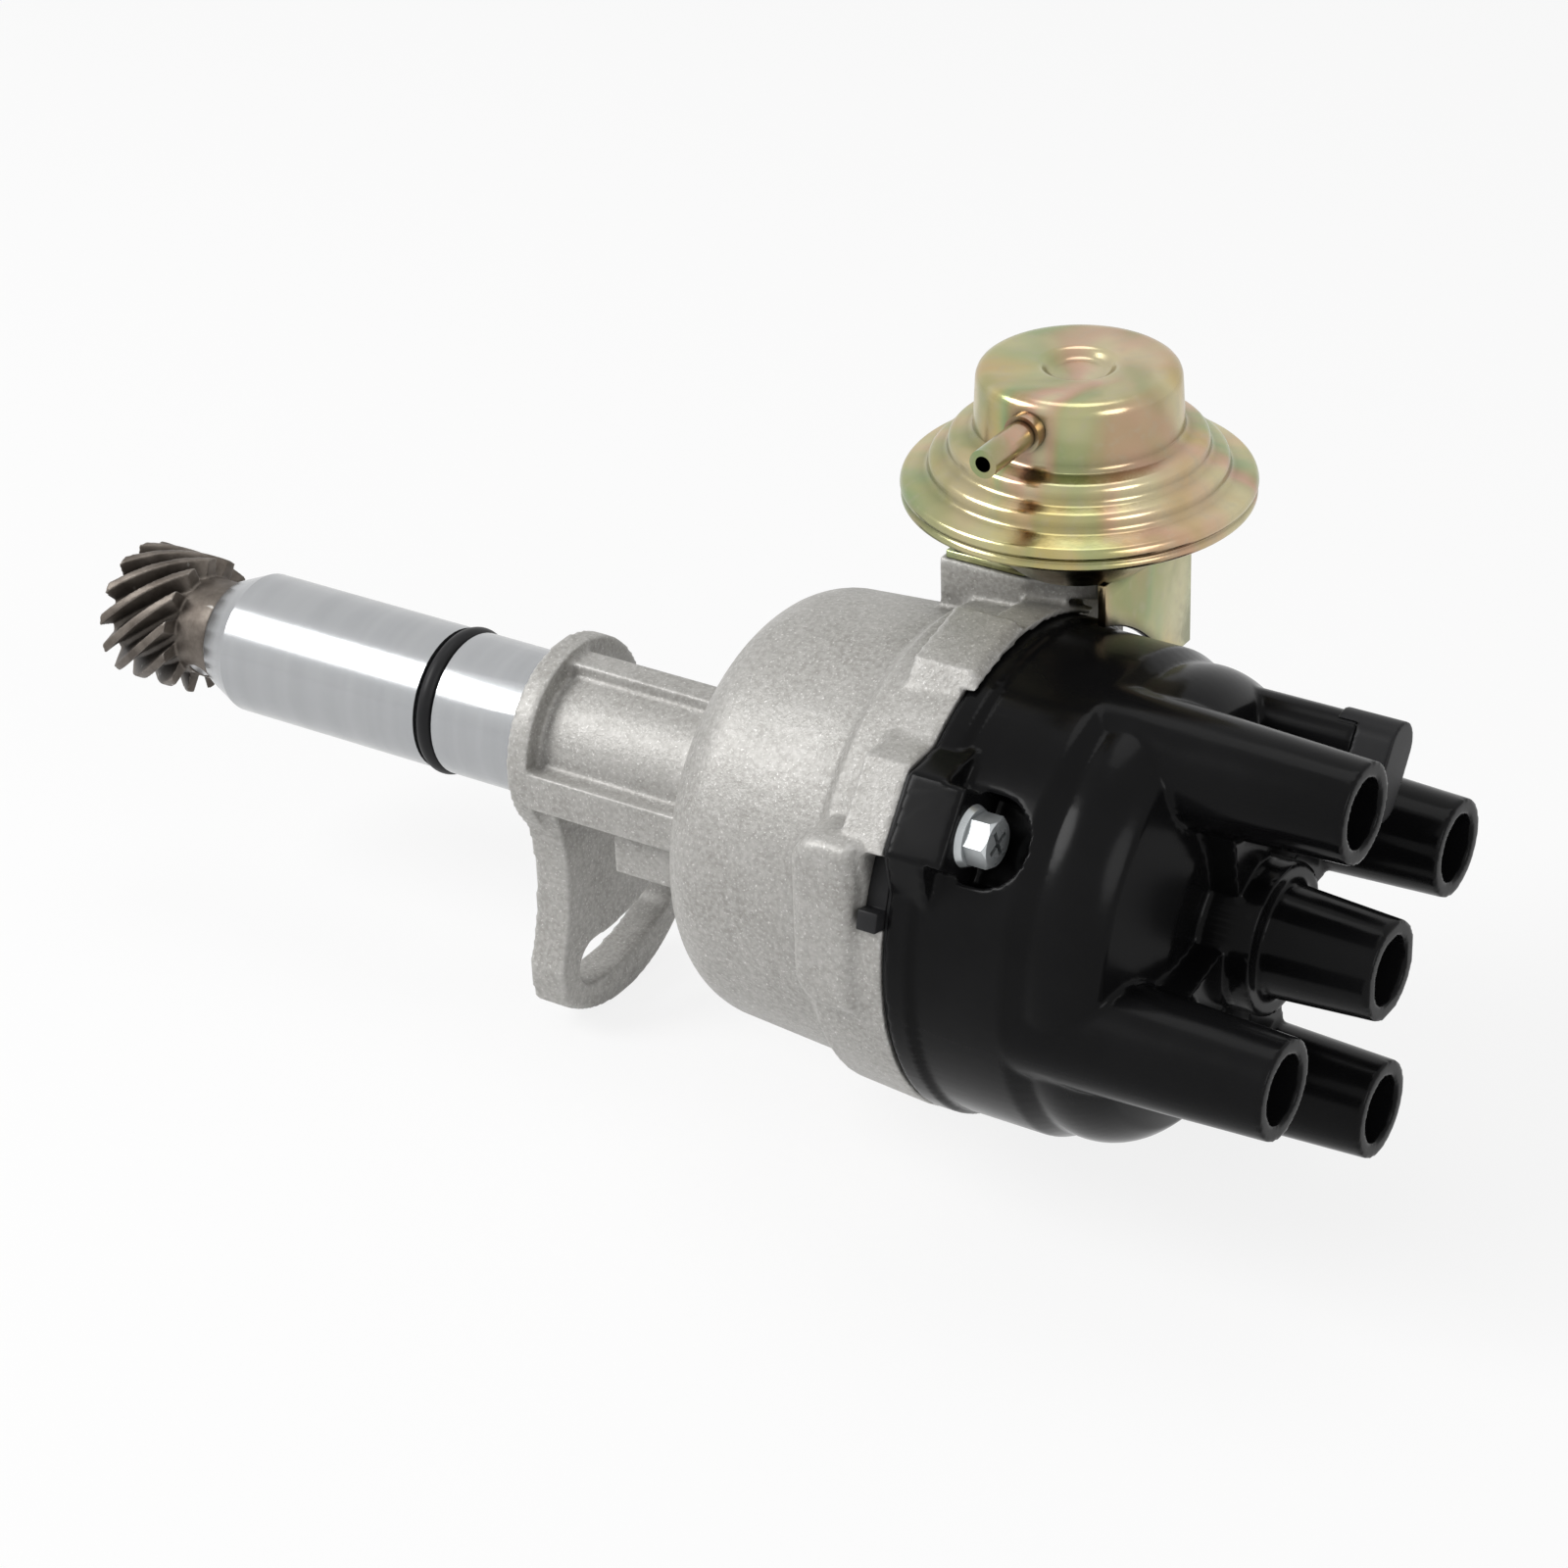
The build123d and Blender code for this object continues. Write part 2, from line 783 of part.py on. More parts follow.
# Shaft with its spindle for the sleeve
with BuildPart() as shaft:
    with BuildSketch(Plane.XY):
        with BuildLine():
            tail_x = gear_end_x + shaft_tail
            Polyline(
                (tail_x, 0),
                (tail_x, shaft_radius - 1.0),
                (tail_x + 1.0, shaft_radius),
                (spindle_x, shaft_radius),
                (spindle_x, spindle_radius),
                (spindle_end_x, spindle_radius),
                (spindle_end_x, screw_shank_radius),
                (spindle_end_x - screw_shank_length, screw_shank_radius),
                (spindle_end_x - screw_shank_length, 0),
                close=True,
            )
        make_face()
    revolve(axis=Axis.X)
    pin_x = gear_x - gear_hub_length / 2
    pin_plane = Plane(
        origin=(pin_x, 0, 0), z_dir=(0, cos(radians(gear_pin_clock)), sin(radians(gear_pin_clock)))
    )
    with BuildSketch(pin_plane):
        Circle(gear_pin_radius)
    extrude(amount=gear_hub_radius, both=True, mode=Mode.SUBTRACT)
save(shaft.part, "distributor_shaft")

# Left-hand helical drive gear: a twisted tooth ring, mirrored, and a plain hub
with BuildSketch(Plane.YZ.offset(gear_end_x)) as tooth_ring:
    pitch_angle = 360 / gear_teeth
    root_half = pitch_angle * 0.17
    tip_half = pitch_angle * 0.17
    with BuildLine():
        for tooth in range(gear_teeth):
            middle = tooth * pitch_angle
            tip = CenterArc((0, 0), gear_tip_radius, middle - tip_half, 2 * tip_half)
            root_from = middle + pitch_angle / 2 - root_half
            root = CenterArc((0, 0), gear_root_radius, root_from, 2 * root_half)
            next_tip = on_clock(gear_tip_radius, middle + pitch_angle - tip_half)
            Line(tip @ 1, root @ 0)
            Line(root @ 1, next_tip)
    make_face()
twist = degrees(gear_face * tan(radians(gear_helix)) / ((gear_tip_radius + gear_root_radius) / 2))
tooth_solid = Solid.extrude_linear_with_rotation(
    tooth_ring.sketch.face(), (gear_end_x, 0, 0), (gear_face, 0, 0), twist
)
with BuildPart() as gear:
    add(tooth_solid.mirror(Plane.XY))
    with BuildSketch(Plane.YZ.offset(gear_end_x + gear_face)):
        Circle(gear_hub_radius)
    extrude(amount=gear_hub_length)
    with BuildSketch(Plane.YZ.offset(gear_end_x)):
        Circle(shaft_radius)
    extrude(amount=gear_face + gear_hub_length, mode=Mode.SUBTRACT)
    with BuildSketch(pin_plane):
        Circle(gear_pin_radius)
    extrude(amount=gear_hub_radius, both=True, mode=Mode.SUBTRACT)
save(gear.part, "drive_gear")

with BuildPart() as gear_pin:
    with BuildSketch(pin_plane):
        Circle(gear_pin_radius)
    extrude(amount=gear_hub_radius - 0.4, both=True)
save(gear_pin.part, "gear_pin")

# Governor base plate, fixed on the shaft, with pivots and spring posts
pivot_places = [(0, -weight_pivot_reach), (0, weight_pivot_reach)]
post_places = [(-spring_post_y, -spring_post_z), (spring_post_y, spring_post_z)]
with BuildPart() as governor_plate:
    with BuildSketch(Plane.YZ.offset(governor_x)):
        Circle(governor_plate_radius)
        with PolarLocations(governor_plate_radius, 2, start_angle=0):
            Circle(governor_plate_scallop, mode=Mode.SUBTRACT)
        Circle(shaft_radius, mode=Mode.SUBTRACT)
        with Locations(*pivot_places):
            Circle(pivot_radius, mode=Mode.SUBTRACT)
        with Locations(*post_places):
            Circle(spring_post_radius, mode=Mode.SUBTRACT)
    extrude(amount=governor_plate_thickness)
    with BuildSketch(Plane.YZ.offset(governor_x - governor_hub_length)):
        Circle(governor_hub_radius)
        Circle(shaft_radius, mode=Mode.SUBTRACT)
    extrude(amount=governor_hub_length)
save(governor_plate.part, "governor_base_plate")

with BuildPart() as pivots:
    with BuildSketch(Plane.YZ.offset(governor_x)):
        with Locations(*pivot_places):
            Circle(pivot_radius)
    extrude(amount=weight_top_x - governor_x)
save(pivots.part, "weight_pivots")

post_top_x = spring_x + spring_coil_radius + free_gap
with BuildPart() as posts:
    with BuildSketch(Plane.YZ.offset(governor_x)):
        with Locations(*post_places):
            Circle(spring_post_radius)
    extrude(amount=post_top_x - governor_x)
save(posts.part, "spring_posts")

# Flyweights: a ring sector with a pivot boss and a drive pin, and its twin half a turn on
drive_pin = (drive_pin_y, drive_pin_z)
with BuildPart() as weight:
    with BuildSketch(Plane.YZ.offset(weight_x)):
        add(ring_sector(weight_inner_radius, weight_outer_radius, weight_start, weight_end))
        with Locations(pivot_places[0]):
            Circle(weight_boss_radius)
            Circle(pivot_radius + pivot_clearance, mode=Mode.SUBTRACT)
    extrude(amount=weight_thickness)
    with BuildSketch(Plane.YZ.offset(weight_top_x)):
        with Locations(drive_pin):
            Circle(drive_pin_radius)
    extrude(amount=drive_pin_length)
save(weight.part, "governor_weight_lower")
twin_weight = weight.part.rotate(Axis.X, 180)
save(twin_weight, "governor_weight_upper")


def pin_in_plate(share):
    # the drive pin seen from the cam plate, at a share of the whole advance
    swing = -weight_swing * share
    lever = (drive_pin_y, drive_pin_z + weight_pivot_reach)
    y, z = turned(lever, swing)
    return turned((y, z - weight_pivot_reach), advance_range * share)


# Sleeve with its cam plate: the slots follow the drive pins of the weights
with BuildPart() as sleeve:
    with BuildSketch(Plane.YZ.offset(cam_x)):
        SlotOverall(2 * cam_plate_half_length, 2 * cam_plate_half_width)
        for half_turn in (0, 180):
            with BuildLine(mode=Mode.PRIVATE):
                pin_path = ThreePointArc(
                    turned(pin_in_plate(0), half_turn),
                    turned(pin_in_plate(0.5), half_turn),
                    turned(pin_in_plate(1), half_turn),
                )
            SlotArc(pin_path, 2 * (drive_pin_radius + side_gap), mode=Mode.SUBTRACT)
    extrude(amount=cam_plate_thickness)
    with BuildSketch(Plane.YZ.offset(sleeve_x)):
        Circle(sleeve_radius)
    extrude(amount=sleeve_end_x - sleeve_x)
    with BuildSketch(Plane.YZ.offset(cam_top_x)):
        with Locations((-spring_post_y, -spring_hook_z), (spring_post_y, spring_hook_z)):
            Circle(spring_post_radius)
    extrude(amount=post_top_x - cam_top_x)
    with BuildSketch(Plane.YZ.offset(sleeve_x)):
        Circle(spindle_radius + shaft_clearance)
    extrude(amount=sleeve_end_x - sleeve_x, mode=Mode.SUBTRACT)
    with BuildSketch(Plane.YZ.offset(spindle_end_x - side_gap)):
        Circle(sleeve_counterbore)
    extrude(amount=sleeve_end_x - spindle_end_x + side_gap, mode=Mode.SUBTRACT)
save(sleeve.part, "advance_sleeve")

with BuildPart() as sleeve_screw:
    with BuildSketch(Plane.YZ.offset(spindle_end_x)):
        Circle(screw_head_radius)
    extrude(amount=screw_head_height)
    with BuildSketch(Plane.YZ.offset(spindle_end_x)):
        Circle(screw_shank_radius)
    extrude(amount=-screw_shank_length)
    with BuildSketch(Plane.YZ.offset(spindle_end_x + screw_head_height)):
        Rectangle(2 * screw_head_radius, 1.2)
    extrude(amount=-1.2, mode=Mode.SUBTRACT)
save(sleeve_screw.part, "sleeve_screw")

felt_x = spindle_end_x + screw_head_height + side_gap
save(ring_part(felt_x, felt_x + felt_thickness, sleeve_counterbore), "felt_wick")

# Governor springs, each from a fixed post to a post on the cam plate
spring_clear = spring_post_radius + 0.3
spring_length = spring_post_z - spring_hook_z - 2 * spring_clear
with BuildPart() as governor_spring:
    with BuildLine():
        coil = Helix(
            pitch=spring_length / 5,
            height=spring_length,
            radius=spring_coil_radius - spring_wire / 2,
            center=(spring_x, -spring_post_y, -spring_post_z + spring_clear),
        )
    with BuildSketch(Plane(origin=coil @ 0, z_dir=coil % 0)):
        Circle(spring_wire / 2)
    sweep(is_frenet=True)
save(governor_spring.part, "governor_spring_lower")
save(governor_spring.part.rotate(Axis.X, 180), "governor_spring_upper")

# Reluctor with one tooth for each cylinder
with BuildPart() as reluctor:
    with BuildSketch(Plane.YZ.offset(reluctor_x)):
        Circle(reluctor_root_radius)
        with PolarLocations(reluctor_tip_radius / 2, 4, start_angle=rotor_clock):
            Rectangle(reluctor_tip_radius, reluctor_tooth)
        Circle(sleeve_radius, mode=Mode.SUBTRACT)
    extrude(amount=reluctor_width)
save(reluctor.part, "reluctor")

# Rotor and its contact strip
with BuildPart() as rotor:
    with BuildSketch(Plane.YZ.offset(sleeve_end_x - rotor_socket_depth)):
        Circle(rotor_hub_radius)
    extrude(amount=rotor_socket_depth + rotor_crown)
    with BuildSketch(Plane.YZ.offset(rotor_top_x)):
        with PolarLocations(rotor_arm_reach / 2, 1, start_angle=rotor_clock):
            Rectangle(rotor_arm_reach, rotor_arm_width)
        with PolarLocations(rotor_tail_reach / 2, 1, start_angle=rotor_clock + 180):
            Rectangle(rotor_tail_reach, rotor_tail_width)
    extrude(amount=-rotor_arm_thickness)
    with BuildSketch(Plane.YZ.offset(sleeve_end_x)):
        Circle(sleeve_radius)
    extrude(amount=-rotor_socket_depth, mode=Mode.SUBTRACT)
save(rotor.part, "rotor")

with BuildPart() as contact:
    with BuildSketch(Plane.YZ.offset(rotor_top_x)):
        Circle(contact_width / 2 + 0.5)
        with PolarLocations(contact_reach / 2, 1, start_angle=rotor_clock):
            Rectangle(contact_reach, contact_width)
    extrude(amount=contact_thickness)
save(contact.part, "rotor_contact")

# Fixed base plate on the ledge, with the collar that the pickup plate turns on
with BuildPart() as base_plate:
    with BuildSketch(Plane.YZ.offset(ledge_x)):
        Circle(plate_space_radius - spigot_gap)
        Circle(base_plate_hole, mode=Mode.SUBTRACT)
        with PolarLocations(base_screw_reach, 2, start_angle=base_screw_clock):
            Circle(base_screw_radius, mode=Mode.SUBTRACT)
    extrude(amount=base_plate_thickness)
    with BuildSketch(Plane.YZ.offset(base_plate_top_x)):
        Circle(collar_radius)
        Circle(base_plate_hole, mode=Mode.SUBTRACT)
    extrude(amount=collar_height)
save(base_plate.part, "base_plate")

with BuildPart() as base_screws:
    with BuildSketch(Plane.YZ.offset(base_plate_top_x)):
        with PolarLocations(base_screw_reach, 2, start_angle=base_screw_clock):
            Circle(base_screw_head)
    extrude(amount=base_screw_head_height)
    with BuildSketch(Plane.YZ.offset(base_plate_top_x)):
        with PolarLocations(base_screw_reach, 2, start_angle=base_screw_clock):
            Circle(base_screw_radius)
    extrude(amount=-(base_plate_thickness + base_boss_height))
save(base_screws.part, "base_plate_screws")

# Pickup plate with the pin that the vacuum rod pulls
pickup_clock = 180.0
module_clock = -100.0
with BuildPart() as pickup_plate:
    with BuildSketch(Plane.YZ.offset(pickup_x)):
        Circle(pickup_plate_radius)
        Circle(collar_radius + pivot_clearance, mode=Mode.SUBTRACT)
    extrude(amount=pickup_plate_thickness)
    with BuildSketch(Plane.YZ.offset(pickup_top_x)):
        with Locations((link_pin_y, link_pin_z)):
            Circle(link_pin_radius)
    extrude(amount=link_pin_height + 1.0)
save(pickup_plate.part, "pickup_plate")
save(
    ring_part(
        pickup_top_x + side_gap,
        pickup_top_x + side_gap + retainer_thickness,
        collar_radius + retainer_width,
        collar_radius,
    ),
    "plate_retaining_ring",
)

# Pickup: coil block and pole piece facing the reluctor
pole_tip = reluctor_tip_radius + pole_gap
with BuildPart() as pickup_coil:
    with BuildSketch(Plane.YZ.offset(pickup_top_x)):
        with PolarLocations(pickup_plate_radius - coil_depth / 2 - 1.0, 1, start_angle=pickup_clock):
            RectangleRounded(coil_depth, coil_width, 2.0)
    extrude(amount=coil_length)
save(pickup_coil.part, "pickup_coil")
coil_inner = pickup_plate_radius - coil_depth - 1.0
pole_x = reluctor_x + reluctor_width / 2 - pole_thickness / 2
with BuildPart() as pole:
    with BuildSketch(Plane.YZ.offset(pole_x)):
        with PolarLocations((pole_tip + coil_inner) / 2, 1, start_angle=pickup_clock):
            Rectangle(coil_inner - pole_tip, pole_width)
    extrude(amount=pole_thickness)
save(pole.part, "pickup_pole")

screw_offset = module_width / 2 - module_screw_inset
module_screw_places = [(0, screw_offset), (0, -screw_offset)]
with BuildPart() as module:
    with BuildSketch(Plane.YZ.offset(pickup_top_x)):
        with PolarLocations(module_reach, 1, start_angle=module_clock):
            RectangleRounded(module_depth, module_width - 2 * module_ear, 1.5)
    extrude(amount=module_height)
    with BuildSketch(Plane.YZ.offset(pickup_top_x)):
        with PolarLocations(module_reach, 1, start_angle=module_clock):
            RectangleRounded(module_depth - module_screw_head, module_width, module_screw_head)
            with Locations(*module_screw_places):
                Circle(module_screw_radius, mode=Mode.SUBTRACT)
    extrude(amount=module_base_height)
save(module.part, "ignition_module")

with BuildPart() as module_screws:
    with BuildSketch(Plane.YZ.offset(pickup_top_x + module_base_height)):
        with PolarLocations(module_reach, 1, start_angle=module_clock):
            with Locations(*module_screw_places):
                Circle(module_screw_head)
    extrude(amount=module_screw_radius)
    with BuildSketch(Plane.YZ.offset(pickup_top_x)):
        with PolarLocations(module_reach, 1, start_angle=module_clock):
            with Locations(*module_screw_places):
                Circle(module_screw_radius)
    extrude(amount=module_base_height)
save(module_screws.part, "module_screws")

# Gasket between the rim and the cap
with BuildPart() as gasket:
    with BuildSketch(Plane.YZ.offset(rim_x)):
        gasket_reach = ear_reach - boss_step
        add(eared_disc(bowl_step_outer, gasket_reach, ear_width - 1, ear_root_width - 2))
        Circle(bowl_step_outer - gasket_width, mode=Mode.SUBTRACT)
        with PolarLocations(ear_screw_reach, 2, start_angle=ear_clock):
            Circle(cap_screw_radius + 2.5)
        Circle(plate_space_radius + 0.2, mode=Mode.SUBTRACT)
        with PolarLocations(ear_screw_reach, 2, start_angle=ear_clock):
            Circle(cap_screw_radius + 0.4, mode=Mode.SUBTRACT)
    extrude(amount=gasket_thickness)
save(gasket.part, "cap_gasket")


def screw_pocket(grow):
    # the round-ended recesses over the cap screws, cut in from the side of the cap
    pocket_radius = screw_pocket_radius + grow
    low_x = ear_top_x if grow == 0 else cap_x - spigot_length
    high_x = pocket_end_x + grow
    with BuildPart() as pockets:
        for side in (ear_clock, ear_clock + 180):
            y, z = on_clock(1, side)
            radial = Plane(origin=(0, 0, 0), x_dir=(1, 0, 0), z_dir=(0, y, z))
            with BuildSketch(radial.offset(pocket_floor - grow)):
                with Locations((high_x - pocket_radius, 0)):
                    Circle(pocket_radius)
                with Locations(((low_x + high_x - pocket_radius) / 2, 0)):
                    Rectangle(high_x - pocket_radius - low_x, 2 * pocket_radius)
                with Locations(((low_x + high_x) / 2, 0)):
                    Rectangle(high_x - low_x, 2 * pocket_radius, mode=Mode.INTERSECT)
            extrude(amount=ear_reach)
    return pockets.part


# Space inside the cap, kept clear of the screw pockets
with BuildPart() as cap_space:
    with BuildSketch(Plane.XY):
        with BuildLine():
            Polyline(
                (cap_x - spigot_length, 0),
                (cap_x - spigot_length, plate_space_radius - spigot_gap - spigot_thickness),
                (cap_x, plate_space_radius - spigot_gap - spigot_thickness),
                (cap_x + cap_rim_height, cap_wall_radius - cap_wall),
                (cap_x + cap_wall_length - cap_crease_drop, cap_wall_radius - cap_wall),
                (cap_x + cap_shoulder_length, cap_shoulder_radius - cap_wall - 1.0),
                (cavity_x, cap_roof_radius),
                (cavity_x, 0),
                close=True,
            )
        make_face()
    revolve(axis=Axis.X)
    add(screw_pocket(cap_wall), mode=Mode.SUBTRACT)

# Cap: dome, four towers on a circle and one in the middle, two ears
crease_x = cap_x + cap_wall_length + cap_crease_run
valley_x = cap_x + cap_valley_length
with BuildPart() as cap:
    with BuildSketch(Plane.XY):
        with BuildLine():
            Polyline(
                (valley_x, 0),
                (cap_x - spigot_length, 0),
                (cap_x - spigot_length, plate_space_radius - spigot_gap),
                (cap_x, plate_space_radius - spigot_gap),
                (cap_x, cap_rim_radius),
                (cap_x + cap_rim_height, cap_rim_radius),
                (cap_x + cap_rim_height + 0.6, cap_wall_radius),
                (cap_x + cap_wall_length, cap_wall_radius),
                (crease_x, cap_wall_radius - cap_crease_drop),
            )
            ThreePointArc(
                (crease_x, cap_wall_radius - cap_crease_drop),
                (cap_x + cap_shoulder_length, cap_shoulder_radius),
                (cap_x + cap_brow_length, cap_brow_radius),
            )
            Polyline(
                (cap_x + cap_brow_length, cap_brow_radius),
                (valley_x, cap_valley_radius),
                (valley_x, 0),
            )
        make_face()
    revolve(axis=Axis.X)

    # a flange with wide-rooted ears, and the square-faced ears on it
    with BuildSketch(Plane.YZ.offset(cap_x)):
        add(eared_disc(cap_wall_radius, ear_reach, ear_width, ear_root_width))
    extrude(amount=ear_flange_thickness)
    with BuildSketch(Plane.YZ.offset(cap_x)):
        with PolarLocations(ear_reach / 2, 2, start_angle=ear_clock):
            Rectangle(ear_reach, ear_width)
    extrude(amount=ear_thickness)

    # towers, each a slight taper out of the dome, with webs to the one in the middle
    tower_run = tower_end_x - tower_root_x
    with BuildSketch(Plane.YZ.offset(tower_root_x)):
        with PolarLocations(tower_circle, 4, start_angle=tower_clock):
            Circle(tower_root_radius)
    extrude(
        amount=tower_run,
        taper=degrees(atan2(tower_root_radius - tower_tip_radius, tower_run)),
    )
    with BuildSketch(Plane.YZ.offset(valley_x)):
        with PolarLocations(tower_circle / 2, 4, start_angle=tower_clock):
            Rectangle(tower_circle, cap_web_width)
    extrude(amount=cap_face_x - valley_x)
    with BuildSketch(Plane.YZ.offset(valley_x)):
        Circle(centre_plateau_radius)
    extrude(amount=cap_face_x + centre_plateau_height - valley_x)
    centre_run = centre_tower_end_x - cap_face_x
    with BuildSketch(Plane.YZ.offset(cap_face_x)):
        Circle(centre_root_radius)
    extrude(
        amount=centre_run,
        taper=degrees(atan2(centre_root_radius - tower_tip_radius, centre_run)),
    )

    # vent stalk between two towers
    vent_stalk_x = cap_x + cap_shoulder_length
    vent_stalk_end_x = hood_x + vent_hood_overlap
    with BuildSketch(Plane.YZ.offset(vent_stalk_x)):
        with PolarLocations(vent_stalk_circle, 1, start_angle=vent_clock):
            Circle(vent_stalk_radius)
    extrude(amount=vent_stalk_end_x - vent_stalk_x)

    # pockets over the screws, and the inside of the cap
    add(screw_pocket(0), mode=Mode.SUBTRACT)
    add(cap_space.part, mode=Mode.SUBTRACT)

    # boss inside for the carbon brush
    brush_tip_x = contact_top_x + side_gap
    brush_boss_x = brush_tip_x + brush_travel + side_gap
    with BuildSketch(Plane.YZ.offset(brush_boss_x)):
        Circle(brush_boss_radius)
    extrude(amount=cavity_x - brush_boss_x + 1.0)

    # bosses that hold the side terminals
    terminal_foot_x = rotor_top_x - 2.0
    with BuildSketch(Plane.YZ.offset(terminal_foot_x + terminal_foot_length)):
        with PolarLocations(tower_circle, 4, start_angle=tower_clock):
            Circle(terminal_foot_radius + 1.6)
    extrude(amount=cavity_x - terminal_foot_x - terminal_foot_length + 1.0)

    # sockets for the leads
    for circle, count, end_x in (
        (tower_circle, 4, tower_end_x),
        (0, 1, centre_tower_end_x),
    ):
        with BuildSketch(Plane.YZ.offset(end_x)):
            with PolarLocations(circle, count, start_angle=tower_clock):
                Circle(socket_radius)
        extrude(amount=-socket_depth, mode=Mode.SUBTRACT)
        cup_x = end_x - socket_depth - terminal_cup_depth
        with BuildSketch(Plane.YZ.offset(cup_x)):
            with PolarLocations(circle, count, start_angle=tower_clock):
                Circle(terminal_cup_radius)
        extrude(amount=terminal_cup_depth, mode=Mode.SUBTRACT)
        with BuildSketch(Plane.YZ.offset(cup_x)):
            with PolarLocations(circle, count, start_angle=tower_clock):
                Circle(terminal_post_radius)
        extrude(amount=terminal_foot_x + terminal_foot_length - cup_x, mode=Mode.SUBTRACT)

    # air passage of the vent
    with BuildSketch(Plane.YZ.offset(vent_stalk_x)):
        with PolarLocations(vent_stalk_circle, 1, start_angle=vent_clock):
            Circle(vent_bore)
    extrude(amount=vent_stalk_end_x - vent_stalk_x, mode=Mode.SUBTRACT)

    # bore for the brush and its spring
    brush_bore_top = brush_tip_x + brush_length + brush_spring_length + brush_travel + 0.1
    with BuildSketch(Plane.YZ.offset(brush_boss_x)):
        Circle(brush_radius + brush_clearance)
    extrude(amount=brush_bore_top - brush_boss_x, mode=Mode.SUBTRACT)

    # clearance holes for the screws
    with BuildSketch(Plane.YZ.offset(cap_x)):
        with PolarLocations(ear_screw_reach, 2, start_angle=ear_clock):
            Circle(cap_screw_radius + 0.2)
    extrude(amount=ear_thickness, mode=Mode.SUBTRACT)
save(cap.part, "distributor_cap")

# Screws of the cap: hexagon with a flange, and a plain shank to the thread
with BuildPart() as cap_screws:
    with BuildSketch(Plane.YZ.offset(ear_top_x)):
        with PolarLocations(ear_screw_reach, 2, start_angle=ear_clock):
            Circle(cap_screw_flange)
    extrude(amount=cap_screw_flange_thickness)
    with BuildSketch(Plane.YZ.offset(ear_top_x + cap_screw_flange_thickness)):
        with PolarLocations(ear_screw_reach, 2, start_angle=ear_clock):
            RegularPolygon(cap_screw_across / 2, 6, major_radius=False)
    extrude(amount=cap_screw_head_height - cap_screw_flange_thickness)
    with BuildSketch(Plane.YZ.offset(ear_top_x + cap_screw_head_height)):
        with PolarLocations(ear_screw_reach, 2, start_angle=ear_clock):
            Rectangle(cap_screw_recess, cap_screw_recess_width)
            Rectangle(cap_screw_recess_width, cap_screw_recess)
    extrude(amount=-cap_screw_recess_depth, mode=Mode.SUBTRACT)
    with BuildSketch(Plane.YZ.offset(ear_top_x)):
        with PolarLocations(ear_screw_reach, 2, start_angle=ear_clock):
            Circle(cap_screw_radius)
    extrude(amount=-(ear_top_x - rim_x + cap_screw_grip))
save(cap_screws.part, "cap_screws")


def lead_terminal(circle, count, end_x, foot_x, foot_length, foot_radius):
    # a cup at the bottom of a lead socket, on a post through the roof of the cap
    cup_x = end_x - socket_depth - terminal_cup_depth
    with BuildPart() as terminal:
        with BuildSketch(Plane.YZ.offset(cup_x)):
            with PolarLocations(circle, count, start_angle=tower_clock):
                Circle(terminal_cup_radius)
        extrude(amount=terminal_cup_depth)
        with BuildSketch(Plane.YZ.offset(cup_x + terminal_wall)):
            with PolarLocations(circle, count, start_angle=tower_clock):
                Circle(terminal_cup_radius - terminal_wall)
        extrude(amount=terminal_cup_depth - terminal_wall, mode=Mode.SUBTRACT)
        with BuildSketch(Plane.YZ.offset(foot_x + foot_length)):
            with PolarLocations(circle, count, start_angle=tower_clock):
                Circle(terminal_post_radius)
        extrude(amount=cup_x - foot_x - foot_length)
        with BuildSketch(Plane.YZ.offset(foot_x)):
            with PolarLocations(circle, count, start_angle=tower_clock):
                Circle(foot_radius)
        extrude(amount=foot_length)
    return terminal.part


side_terminals = lead_terminal(
    tower_circle, 4, tower_end_x, terminal_foot_x, terminal_foot_length, terminal_foot_radius
)
save(side_terminals, "side_terminals")
centre_terminal = lead_terminal(
    0, 1, centre_tower_end_x, brush_bore_top, terminal_wall, terminal_post_radius
)
save(centre_terminal, "centre_terminal")

# Carbon brush and its spring
with BuildPart() as brush:
    with BuildSketch(Plane.YZ.offset(brush_tip_x)):
        Circle(brush_radius)
    extrude(amount=brush_length)
    fillet(brush.faces().sort_by(Axis.X)[0].edges(), 1.0)
save(brush.part, "carbon_brush")

with BuildPart() as brush_spring:
    spring_from = brush_tip_x + brush_length + brush_spring_wire / 2
    spring_to = spring_from + brush_spring_length - brush_spring_wire
    with BuildLine():
        brush_coil = Helix(
            pitch=(spring_to - spring_from) / 5,
            height=spring_to - spring_from,
            radius=brush_radius - brush_spring_wire,
            center=(spring_from, 0, 0),
            direction=(1, 0, 0),
        )
    with BuildSketch(Plane(origin=brush_coil @ 0, z_dir=brush_coil % 0)):
        Circle(brush_spring_wire / 2)
    sweep(is_frenet=True)
save(brush_spring.part, "brush_spring")

# Vent hood clipped on the stalk
with BuildPart() as vent_hood:
    with BuildSketch(Plane.YZ.offset(hood_x)):
        with PolarLocations(vent_hood_circle, 1, start_angle=vent_clock):
            SlotOverall(vent_hood_length, vent_hood_width)
    extrude(amount=vent_hood_depth)
    with BuildSketch(Plane.YZ.offset(hood_x)):
        with PolarLocations(vent_stalk_circle, 1, start_angle=vent_clock):
            Circle(vent_stalk_radius)
    extrude(amount=vent_hood_overlap, mode=Mode.SUBTRACT)
save(vent_hood.part, "vent_hood")


